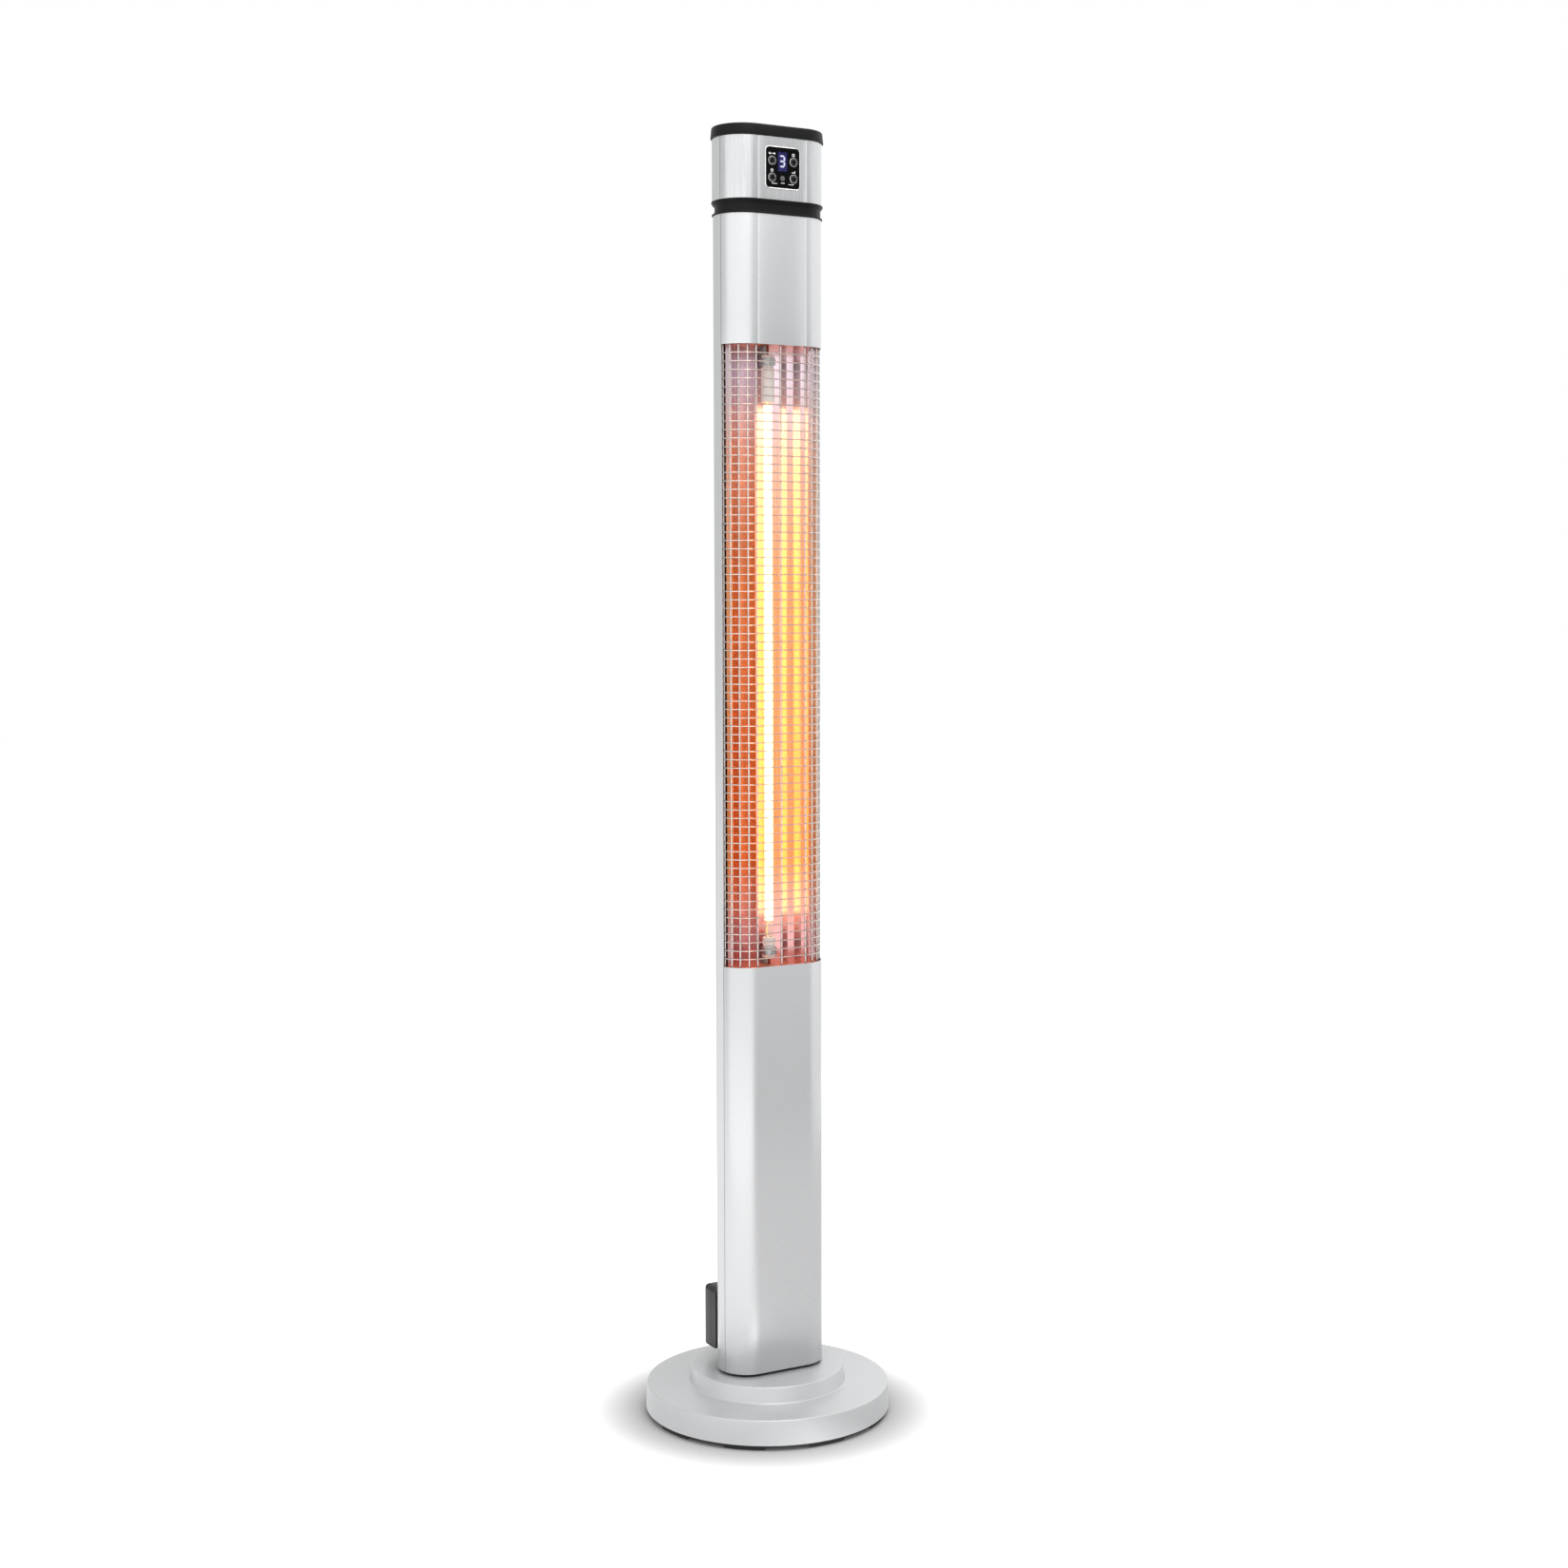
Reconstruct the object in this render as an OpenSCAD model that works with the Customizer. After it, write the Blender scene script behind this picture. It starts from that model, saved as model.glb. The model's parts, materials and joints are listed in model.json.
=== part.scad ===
// Infrared patio heater tower: a round weighted base, a column that turns on it with a wire guard over
// a heating tube, and a control head with four push buttons.
// Millimetres, +Z up, origin on the floor under the middle of the base, front towards -Y.

/* [Base] */
// Diameter of the base over its upper rim
base_rim_d = 300; // [290:1:330]
// How far the foot of the base wall stands out past the rim
base_flare = 1.4; // [0.5:0.1:3]
// Height of the upper rim over the floor
base_rim_z = 37; // [35:0.5:42]
// Height of the cover's lower edge over the floor
base_foot_z = 8.7; // [7.5:0.1:10]
// Rise of the cover from its rim to the foot of the pedestal
base_rise = 1.5; // [0.5:0.1:3]
// Diameter of the pedestal at its foot
pedestal_foot_d = 195; // [190:1:205]
// How far the pedestal's wall leans in, on the radius
pedestal_lean = 4.4; // [2:0.1:6]
// Height of the pedestal's wall
pedestal_h = 19; // [18:0.5:26]
// Sheet thickness of the cover
cover_t = 1.6; // [1:0.1:2]
// Height of the rubber feet
feet_h = 5; // [3:0.1:6]
// Number of rubber feet
feet_count = 9; // [5:1:9]
// Length of a rubber foot along its ring
feet_len = 47; // [30:1:55]
// Width of a rubber foot
feet_w = 14; // [8:1:18]
// Sheet thickness of the floor plate
plate_t = 1.5; // [1:0.1:2]

/* [Swing drive] */
// Gear module
gear_module = 1.5; // [1.4:0.05:1.5]
// Teeth of the full circle from which the sector is cut
gear_teeth = 60; // [56:1:60]
// Teeth of the pinion
pinion_teeth = 18; // [16:1:19]
// Face width of the sector
gear_t = 6; // [4:0.5:7]
// Swing to each side in degrees
swing_reach = 35; // [20:1:40]
// Outer diameter of the hollow spindle
pivot_d = 28; // [26:0.5:30]
// Bore of the hollow spindle
pivot_bore_d = 23; // [20:0.5:24]
// Diameter of the geared motor
motor_d = 50; // [42:1:52]
// Height of the geared motor
motor_h = 20; // [15:0.5:21]

/* [Column] */
// Width of the column
column_w = 138.2; // [130:0.5:150]
// Depth of the column, which has full round ends
column_d = 71.6; // [68:0.2:78]
// How far the column's middle stands forward of the base's middle
column_forward = 6.7; // [4:0.1:9]
// Gap between the pedestal and the column's lower edge
column_gap = 3.5; // [2.5:0.1:5]
// Height of the lower front panel
lower_panel_h = 503; // [420:1:600]
// Height of the open guard
guard_h = 745; // [600:1:850]
// Height of the upper front panel
upper_panel_h = 152.3; // [130:0.1:200]
// Sheet thickness of the column's shells
shell_t = 1.2; // [0.8:0.1:1.4]
// How far the seam lies forward of the section's middle
seam_forward = 8.85; // [6:0.05:12]
// Width of the seam between rear shell and front panels
seam_gap = 0.6; // [0.3:0.1:1]

/* [Guard and heater] */
// Pitch of the horizontal wires
wire_pitch = 10.07; // [9:0.01:14]
// Diameter of the horizontal wires
wire_d = 2; // [1.6:0.1:2.4]
// Diameter of the upright wires
upright_d = 2.4; // [1.8:0.1:2.8]
// Diameter of the quartz tube
tube_d = 11; // [10:0.5:13]
// Height of the filament's lower end over the guard's lower edge
filament_low = 51; // [45:1:80]
// Depth of the filament's upper end under the guard's upper edge
filament_high = 69; // [66:1:100]
// Sheet thickness of the reflector
reflector_t = 0.8; // [0.5:0.1:1.2]

/* [Head] */
// Height of the neck
neck_h = 16.6; // [14:0.1:22]
// Height of the head's shells
head_h = 74.7; // [72:0.1:90]
// Height of the top cap
cap_h = 12.1; // [10:0.1:16]
// How far the head stands out past the column all round
head_grow = 1; // [0.6:0.1:1.6]
// Width of the control panel over its bezel
panel_w = 47.4; // [46.5:0.1:52]
// Height of the control panel over its bezel
panel_h = 49; // [48:0.1:54]
// Diameter of a push button
button_d = 10.1; // [9:0.1:10.6]
// Travel of a push button
button_travel = 1; // [0.6:0.1:1.1]

/* [Rear box] */
// Width of the box on the back of the column
box_w = 110; // [96:1:120]
// Depth of the box
box_d = 34.5; // [32:0.5:45]
// Height of the box
box_h = 80; // [74:1:100]
// Height of the box's lower edge over the pedestal
box_rise = 12.5; // [8:0.5:30]
// Radius of the cable hole through the gland
gland_bore_r = 4; // [3:0.1:4.5]

/* [Hidden] */

// Overrun of cuts, clearance of fitted pieces and running clearance of the spindle and shafts
cut = 1;
fit = 0.15;
run_fit = 0.05;
$fn = 72;
small_fn = 32;

// Heights
pedestal_foot_z = base_rim_z + base_rise;
pedestal_z = pedestal_foot_z + pedestal_h;
column_z = pedestal_z + column_gap;
guard_z0 = column_z + lower_panel_h;
guard_z1 = guard_z0 + guard_h;
neck_z = guard_z1 + upper_panel_h;
head_z = neck_z + neck_h;
cap_z = head_z + head_h;
top_z = cap_z + cap_h;
plate_top_z = feet_h + plate_t;

// The column's section
end_r = column_d / 2;
end_x = column_w / 2 - end_r;
mid_y = -column_forward;
front_y = mid_y - end_r;
back_y = mid_y + end_r;
seam_y = mid_y - seam_forward;
lip_len = 6;
lip_back = 4;
lip_in = shell_t + fit;
clear_in = lip_in + shell_t + fit;
inner_back_y = back_y - shell_t;

// Base pieces
rim_round = 1.2;
boss_count = 6;
boss_d = 12;
boss_hole_d = 3.4;
weight_wall_gap = 5;
weight_motor_gap = 5.5;
weight_h = 25;
base_screw_d = 4;
plate_rim_h = 5;
plate_wall_gap = 0.5;
feet_edge = 2;

// Spindle, bush, motor and gears
pivot_r = pivot_d / 2;
bush_t = 4;
hub_t = 4;
hub_drop = 16;
flange_t = 4;
flange_r = 40;
thrust_t = 1;
thrust_over = 7;
gear_pitch_r = gear_module * gear_teeth / 2;
pinion_pitch_r = gear_module * pinion_teeth / 2;
motor_y = gear_pitch_r + pinion_pitch_r;
weight_bore_d = 2 * (motor_y + motor_d / 2 + weight_motor_gap);
boss_ring_r = (base_rim_d / 2 - cover_t - weight_wall_gap + weight_bore_d / 2) / 2;
pressure_angle = 20;
root_share = 1.25;
tooth_play = 0.12;
sector_spare = 14;
sector_z1 = pedestal_z - hub_drop - thrust_t / 2;
sector_z0 = sector_z1 - gear_t;
sector_hub_t = 5;
sector_hub_drop = 2;
nut_h = 6.3;
nut_r = 20;
spindle_low_z = sector_z0 - sector_hub_drop - nut_h - thrust_t;
spindle_flange_r = 23;
spindle_flange_t = 2.5;
shaft_d = 7;
strap_t = 2;
motor_z = plate_top_z + strap_t;
strap_w = 16;
ear_x = 31;
ear_d = 9;
ear_t = 1.2;
motor_boss_d = 12;
motor_boss_h = 2;
lead_r = 1.4;
screw_r = 1.6;
screw_head_r = 3.2;
screw_head_h = 1.8;
housing_screw_ring_r = 31;

// Column foot
foot_z = pedestal_z + thrust_t + run_fit;
foot_floor_t = 4;
foot_wall_t = 3;
foot_h = 17;
foot_floor_z = foot_z + foot_floor_t;

// Heating chamber
sill = 2.5;
chamber_t = 1.5;
floor_z = guard_z0 - sill;
ceiling_z = guard_z1 + sill;
tab_w = 36;
tab_h = 12;
// Bends of half the reflector, from its middle fold outwards, as shares of the column's half width and depth
reflector_x_shares = [0, 0.159, 0.412, 0.504, 0.595, 0.676, 0.734, 0.767, 0.89];
reflector_y_shares = [0.894, 0.782, 0.6, 0.422, 0.285, 0.053, -0.059, -0.182, -0.2095];
tube_wall = 1;
filament_r = 3.6;
cap_r = 8;
low_cap_gap = 8;
low_cap_h = 25;
high_cap_gap = 11.5;
high_cap_over = 4;
clip_t = 1.2;
clip_h = 8;
clip_w = 12;
clip_foot = 11;
tube_low_z = floor_z + low_cap_gap + low_cap_h - high_cap_over;
filament_z0 = guard_z0 + filament_low;
filament_z1 = guard_z1 - filament_high;
lead_wire_r = 0.6;
lead_bow = tube_d / 2 - tube_wall - lead_wire_r - 3 * fit;

// Guard
wire_r = wire_d / 2;
wire_inset = 1.35;
wire_ring_r = end_r - wire_inset - wire_r;
upright_ring_r = wire_ring_r - wire_r - upright_d / 2 - run_fit;
wire_tuck = 4;
wire_taper = 0.03;
wire_end_angle = asin((seam_forward - wire_tuck) / wire_ring_r);
wire_count = floor(guard_h / wire_pitch);
upright_gaps = 4;
upright_in_angle = 3;
end_upright_angle = wire_end_angle + upright_in_angle;

// Wiring
harness_x = 27;
harness_r = 2.8;
branch_r = 2.2;
harness_y = inner_back_y - 3.9;
harness_low_z = foot_floor_z + foot_h + harness_r;
harness_rise = 26;
harness_high_z = head_z + harness_rise;
mouth_gap = 3;
clip_block_w = 12;
clip_block_d = 7.5;
clip_block_h = 8;
clip_z = [column_z + lower_panel_h * 0.6, guard_z0 + guard_h / 4, guard_z0 + guard_h * 3 / 4,
    neck_z - upper_panel_h / 2];

// Neck and head
lip_h = 1.8;
lip_proud = 1.3;
waist_in = 1.4;
waist_forward = 1;
flange_h = 4.3;
flange_proud = 0.9;
spigot_t = 2;
sleeve_in = clear_in + spigot_t;
web_t = 2.5;
web_hole_r = 18;
cap_proud = 1.6;
cap_lean = 1.2;
cap_round = 2.2;
cap_t = 2.2;
cap_lap = 1.2;
groove_w = 1;
groove_x = end_x - groove_w / 2;
pad_t = 2.2;
pad_w = 36;
shell_screw_x = 12;
shell_screw_len = 7;

// Control panel
panel_z = head_z + head_h / 2;
head_front_y = front_y - head_grow;
panel_r = 5.5;
bezel_w = 0.9;
bezel_h = 1.2;
fascia_proud = 1;
fascia_flange = 1.6;
fascia_flange_t = 1.5;
plug_w = panel_w - 2 * bezel_w - 2 * fit;
plug_h = panel_h - 2 * bezel_w - 2 * fit;
plug_r = panel_r - bezel_w;
spigot_full_h = 12;
spigot_h = min(spigot_full_h, (head_h - plug_h) / 2 - fascia_flange - 2 * fit);
fascia_front_y = head_front_y - fascia_proud;
flange_front_y = head_front_y + shell_t + fit;
flange_back_y = flange_front_y + fascia_flange_t;
button_x = 14.5;
button_high = 7.7;
button_low = 11.8;
button_proud = 0.8;
button_gap = 0.25;
button_flange = 1.2;
button_flange_t = 1;
button_stem_r = 1.6;
button_stem = 1.8;
window_w = 13.2;
window_h = 22.8;
window_z = 7.3;
window_t = 1.5;
window_ledge = 1.3;
ir_r = 3.5;
ir_z = 12.2;
ir_ledge = 0.9;
board_gap = 7.7;
board_t = 1.6;
board_in = 0.6;
board_y = flange_back_y + board_gap;
post_r = 2.2;
post_x = 19.5;
post_z = 20.5;
switch_w = 6;
switch_h = 3;
plunger_r = 1.7;
plunger_h = 0.4;

// Power electronics in the head
stud_r = 2.5;
stud_len = 8;
stud_x = 16;
stud_z = 20;
power_w = 60;
power_h = 52;
power_y = back_y + head_grow - shell_t - stud_len;
relay_size = [15, 15, 19];
relay_x = 18;
relay_z = 12;
sink_size = [44, 12, 20];
sink_z = -14;
sink_base = 3;
fin_t = 1.4;
fin_count = 8;
ribbon = [12, 1];

// Rear box
box_z = pedestal_z + box_rise;
box_gasket_t = 1;
box_y = back_y + box_gasket_t;
box_end_y = box_y + box_d - box_gasket_t;
box_round = 8;
box_edge = 3;
box_wall = 2.2;
box_split = 17;
box_step = 3.5;
box_step_in = 1.5;
box_belly = 6;
box_belly_share = 0.47;
box_seam = 0.3;
box_screw_x = box_w / 2 - 10;
box_screw_in = 11;
box_boss_r = 4;
box_screw_recess = 2;
gland_z = 34;
gland_r = 8;
gland_hex_r = 11.5;
gland_hex_h = 6;
gland_nose_r = 9;
gland_nose = 12;
gland_inside = 8;
gland_len = gland_inside + box_wall + gland_hex_h + gland_nose;
gland_flat_h = 4;
terminal_size = [40, 15, 18];
harness_box_z = box_z + box_h / 2;

// Safety switches
tip_size = [24, 14, 18];
tip_x = 40;
cutout_r = 8;
cutout_h = 7;
cutout_x = -25;
cutout_tab = [30, 10, 1];

// A corner of an outline, rounded to radius r with n steps
function fillet(a, b, c, r, n) =
    r == 0 ? [b] :
    let (u = (a - b) / norm(a - b), v = (c - b) / norm(c - b),
         half = acos(u * v) / 2,
         middle = b + (u + v) / norm(u + v) * r / sin(half),
         p = b + u * r / tan(half) - middle, q = b + v * r / tan(half) - middle,
         start = atan2(p[1], p[0]),
         sweep = atan2(p[0] * q[1] - p[1] * q[0], p * q))
    [for (i = [0 : n]) middle + r * [cos(start + sweep * i / n), sin(start + sweep * i / n)]];

// An outline with each corner rounded to its own radius
function rounded(points, radii, n = 4) =
    let (count = len(points))
    [for (i = [0 : count - 1])
        each fillet(points[(i + count - 1) % count], points[i], points[(i + 1) % count], radii[i], n)];

// The second side of a bent sheet: its path moved sideways by t, with mitred corners
function beside(path, t) =
    [for (i = [0 : len(path) - 1])
        let (before = path[max(i - 1, 0)], after = path[min(i + 1, len(path) - 1)],
             u = i == 0 ? after - path[i] : path[i] - before,
             v = i == len(path) - 1 ? u : after - path[i],
             nu = [-u[1], u[0]] / norm(u), nv = [-v[1], v[0]] / norm(v),
             m = (nu + nv) / norm(nu + nv))
        path[i] + m * t / (m * nu)];

// Involute gear outline: half the tooth's angle at a radius, then the points of all teeth
function inv(a) = tan(a) * 180 / PI - a;
function tooth_half(r, pitch_r, teeth) =
    90 / teeth + inv(pressure_angle) - inv(acos(min(pitch_r * cos(pressure_angle) / r, 1)))
    - tooth_play / pitch_r * 90 / PI;
function gear_points(teeth, steps = 3) =
    let (pitch_r = gear_module * teeth / 2, tip_r = pitch_r + gear_module,
         root_r = pitch_r - root_share * gear_module,
         start_r = max(root_r, pitch_r * cos(pressure_angle)),
         radii = [for (i = [0 : steps]) start_r + (tip_r - start_r) * i / steps],
         halves = [for (r = radii) tooth_half(r, pitch_r, teeth)])
    [for (k = [0 : teeth - 1])
        let (a = 360 * k / teeth)
        each concat(
            start_r > root_r ? [root_r * [cos(a - halves[0]), sin(a - halves[0])]] : [],
            [for (i = [0 : steps]) radii[i] * [cos(a - halves[i]), sin(a - halves[i])]],
            [for (i = [steps : -1 : 0]) radii[i] * [cos(a + halves[i]), sin(a + halves[i])]],
            start_r > root_r ? [root_r * [cos(a + halves[0]), sin(a + halves[0])]] : [])];

// A prism of the column's section, drawn in by inset
module section(inset, z, h) {
    r = end_r - inset;
    translate([0, mid_y, z]) {
        translate([-end_x, -r, 0]) cube([2 * end_x, 2 * r, h]);
        for (side = [-1, 1]) translate([side * end_x, 0, 0]) cylinder(r = r, h = h);
    }
}

// A hollow prism of the section between two insets
module section_ring(outer, inner, z, h) {
    difference() {
        section(outer, z, h);
        section(inner, z - cut, h + 2 * cut);
    }
}

// All that lies between two planes across Y
module slice(y0, y1, z, h) {
    translate([-column_w, y0, z - cut]) cube([2 * column_w, y1 - y0, h + 2 * cut]);
}

// A solid with the section's plan whose edge follows a profile of radius and height
module section_turned() {
    for (side = [0, 1])
        translate([(1 - 2 * side) * end_x, mid_y, 0]) rotate([0, 0, -90 + 180 * side])
            rotate_extrude(angle = 180) children();
    translate([-end_x, mid_y, 0]) rotate([90, 0, 90]) linear_extrude(2 * end_x) {
        children();
        mirror([1, 0]) children();
    }
}

// A plate with round corners, standing across Y from y to y + t, centred on x and z
module upright_plate(w, h, r, y, t, x = 0, z = 0) {
    translate([x, y + t, z]) rotate([90, 0, 0]) linear_extrude(t) {
        square([w - 2 * r, h], center = true);
        square([w, h - 2 * r], center = true);
        for (i = [-1, 1], j = [-1, 1]) translate([i * (w / 2 - r), j * (h / 2 - r)]) circle(r = r);
    }
}

// A round bar along Y from y0 to y1
module y_bar(r, x, y0, y1, z) {
    translate([x, y1, z]) rotate([90, 0, 0]) cylinder(r = r, h = y1 - y0, $fn = small_fn);
}

// A round lead from p to q, and the ball at a bend, a little thicker so that the lead ends inside it
module run(p, q, r) {
    d = q - p;
    translate(p) rotate([0, acos(d[2] / norm(d)), atan2(d[1], d[0])])
        cylinder(r = r, h = norm(d), $fn = small_fn);
}
module knee(p, r) {
    translate(p) sphere(r = r + run_fit, $fn = small_fn);
}

// The way of the wiring through a plate or wall
module harness_way(z, h) {
    translate([harness_x, harness_y, z - cut]) cylinder(r = harness_r + 2 * fit, h = h + 2 * cut);
}

// Pan head screw along an axis: head on the face at z 0, shank towards -Z
module pan_screw(r, head_r, head_h, length) {
    translate([0, 0, -length]) cylinder(r = r, h = length + head_h / 2, $fn = small_fn);
    cylinder(r = head_r, h = head_h, $fn = small_fn);
}

// The back's screws: one row for each piece that the rear shell is fixed to
shell_screw_rows = [foot_z + foot_floor_t + screw_head_r, floor_z - chamber_t - tab_h / 2,
    ceiling_z + chamber_t + tab_h / 2, neck_z - spigot_h / 2];
head_screw_rows = [head_z + spigot_h / 2, cap_z - spigot_h / 2];
module shell_screw_holes(r, rows, y) {
    for (z = rows, side = [-1, 1])
        y_bar(r, side * shell_screw_x, y - shell_screw_len - cut, y + cut, z);
}

// A pad on the back of a spigot, into which the shell's screws bite
module back_pad(y, z, h) {
    translate([-pad_w / 2, y - pad_t, z]) cube([pad_w, pad_t, h]);
}

// Base
module base_profile(t) {
    foot_r = base_rim_d / 2 + base_flare;
    ped_r = pedestal_foot_d / 2;
    polygon(concat(
        rounded([[pivot_r + bush_t, pedestal_z - t], [pivot_r + bush_t, pedestal_z],
            [ped_r - pedestal_lean, pedestal_z], [ped_r, pedestal_foot_z], [base_rim_d / 2, base_rim_z],
            [foot_r, base_foot_z], [foot_r - t, base_foot_z], [base_rim_d / 2 - t, base_rim_z - t],
            [ped_r - t, pedestal_foot_z - t], [ped_r - pedestal_lean - t, pedestal_z - t]],
            [0, 0, rim_round, 0, rim_round, 0, 0, 0, 0, 0])));
}
module base_cover() {
    color("silver") difference() {
        union() {
            rotate_extrude($fn = 180) base_profile(cover_t);
            for (k = [0 : boss_count - 1]) rotate([0, 0, 360 * (k + 0.5) / boss_count])
                translate([boss_ring_r, 0, plate_top_z])
                    cylinder(d = boss_d, h = base_rim_z - plate_top_z, $fn = small_fn);
        }
        for (k = [0 : boss_count - 1]) rotate([0, 0, 360 * (k + 0.5) / boss_count])
            translate([boss_ring_r, 0, plate_top_z - cut])
                cylinder(d = boss_hole_d, h = weight_h / 2 + cut, $fn = small_fn);
        for (k = [0 : 3]) rotate([0, 0, 45 + 90 * k]) translate([housing_screw_ring_r, 0, pedestal_z])
            translate([0, 0, -cover_t - cut])
                cylinder(r = screw_r + fit, h = cover_t + 2 * cut, $fn = small_fn);
    }
}
module base_weight() {
    color("dimgray") difference() {
        translate([0, 0, plate_top_z])
            cylinder(d = base_rim_d - 2 * (cover_t + weight_wall_gap), h = weight_h);
        translate([0, 0, plate_top_z - cut]) cylinder(d = weight_bore_d, h = weight_h + 2 * cut);
        for (k = [0 : boss_count - 1]) rotate([0, 0, 360 * (k + 0.5) / boss_count])
            translate([boss_ring_r, 0, plate_top_z - cut])
                cylinder(d = boss_d + 4 * fit, h = weight_h + 2 * cut, $fn = small_fn);
    }
}
plate_r = base_rim_d / 2 + base_flare - cover_t - plate_wall_gap;
module base_bottom_plate() {
    color("black") difference() {
        translate([0, 0, feet_h]) cylinder(r = plate_r, h = plate_t + plate_rim_h);
        translate([0, 0, plate_top_z]) cylinder(r = plate_r - plate_t, h = plate_rim_h + cut);
        for (k = [0 : boss_count - 1]) rotate([0, 0, 360 * (k + 0.5) / boss_count])
            translate([boss_ring_r, 0, feet_h - cut])
                cylinder(d = base_screw_d, h = plate_t + 2 * cut, $fn = small_fn);
    }
}
module rubber_feet() {
    mid_r = plate_r - feet_edge - feet_w / 2;
    span = feet_len / mid_r * 180 / PI;
    color("#202020") for (k = [0 : feet_count - 1])
        rotate([0, 0, -90 - span / 2 + 360 * k / feet_count]) rotate_extrude(angle = span)
            translate([mid_r - feet_w / 2, 0]) square([feet_w, feet_h]);
}
module base_screws() {
    color("gray") for (k = [0 : boss_count - 1]) rotate([0, 0, 360 * (k + 0.5) / boss_count])
        translate([boss_ring_r, 0, feet_h]) mirror([0, 0, 1])
            pan_screw(screw_r, screw_head_r, screw_head_h, weight_h / 2);
}
module pivot_housing() {
    hub_r = pivot_r + bush_t + hub_t;
    color("gray") difference() {
        union() {
            translate([0, 0, pedestal_z - cover_t - flange_t]) cylinder(r = flange_r, h = flange_t);
            translate([0, 0, pedestal_z - hub_drop]) cylinder(r = hub_r, h = hub_drop - cover_t);
        }
        translate([0, 0, pedestal_z - hub_drop - cut])
            cylinder(r = pivot_r + bush_t - run_fit, h = hub_drop + 2 * cut);
        for (k = [0 : 3]) rotate([0, 0, 45 + 90 * k])
            translate([housing_screw_ring_r, 0, pedestal_z - cover_t - flange_t - cut])
                cylinder(r = screw_r, h = flange_t + 2 * cut, $fn = small_fn);
    }
}
module pivot_bush() {
    color("ivory") difference() {
        translate([0, 0, pedestal_z - hub_drop])
            cylinder(r = pivot_r + bush_t - 2 * run_fit, h = hub_drop);
        translate([0, 0, pedestal_z - hub_drop - cut])
            cylinder(r = pivot_r + run_fit, h = hub_drop + 2 * cut);
    }
}
module thrust_ring() {
    color("ivory") difference() {
        translate([0, 0, pedestal_z]) cylinder(r = pivot_r + thrust_over, h = thrust_t);
        translate([0, 0, pedestal_z - cut]) cylinder(r = pivot_r + 2 * run_fit, h = thrust_t + 2 * cut);
    }
}
module swing_motor() {
    color("silver") difference() {
        translate([0, motor_y, motor_z]) {
            cylinder(d = motor_d, h = motor_h);
            translate([0, 0, motor_h]) cylinder(d = motor_boss_d, h = motor_boss_h, $fn = small_fn);
            for (side = [-1, 1]) translate([side * ear_x, 0, motor_h - ear_t])
                cylinder(d = ear_d, h = ear_t, $fn = small_fn);
            translate([-ear_x, -ear_d / 2, motor_h - ear_t]) cube([2 * ear_x, ear_d, ear_t]);
        }
        translate([0, motor_y, motor_z + motor_h / 2])
            cylinder(r = shaft_d / 2 + run_fit, h = motor_h, $fn = small_fn);
        for (side = [-1, 1]) translate([side * ear_x, motor_y, motor_z])
            cylinder(r = screw_r + fit, h = motor_h + cut, $fn = small_fn);
    }
}
module motor_bracket() {
    color("lightgray") difference() {
        union() {
            translate([-ear_x, motor_y - strap_w / 2, plate_top_z]) cube([2 * ear_x, strap_w, strap_t]);
            for (side = [-1, 1]) translate([side * ear_x, motor_y, plate_top_z])
                cylinder(d = ear_d, h = strap_t + motor_h - ear_t, $fn = small_fn);
        }
        for (side = [-1, 1]) translate([side * ear_x, motor_y, motor_z + motor_h / 2])
            cylinder(r = screw_r, h = motor_h, $fn = small_fn);
        translate([0, motor_y, motor_z]) cylinder(d = motor_d + 2 * fit, h = motor_h);
    }
}
module mechanism_screws() {
    color("gray") {
        for (k = [0 : 3]) rotate([0, 0, 45 + 90 * k]) translate([housing_screw_ring_r, 0, pedestal_z])
            pan_screw(screw_r - run_fit, screw_head_r, thrust_t * 0.8, cover_t + flange_t);
        for (side = [-1, 1]) translate([side * ear_x, motor_y, motor_z + motor_h])
            pan_screw(screw_r - run_fit, screw_head_r, screw_head_h, motor_h / 2 - cut);
    }
}
module motor_leads() {
    lead_z = motor_z + motor_h / 3;
    color("firebrick") {
        run([0, motor_y - motor_d / 2 - fit, lead_z], [0, 0, lead_z], lead_r);
        knee([0, 0, lead_z], lead_r);
        run([0, 0, lead_z], [0, 0, foot_floor_z], lead_r);
    }
}

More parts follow.
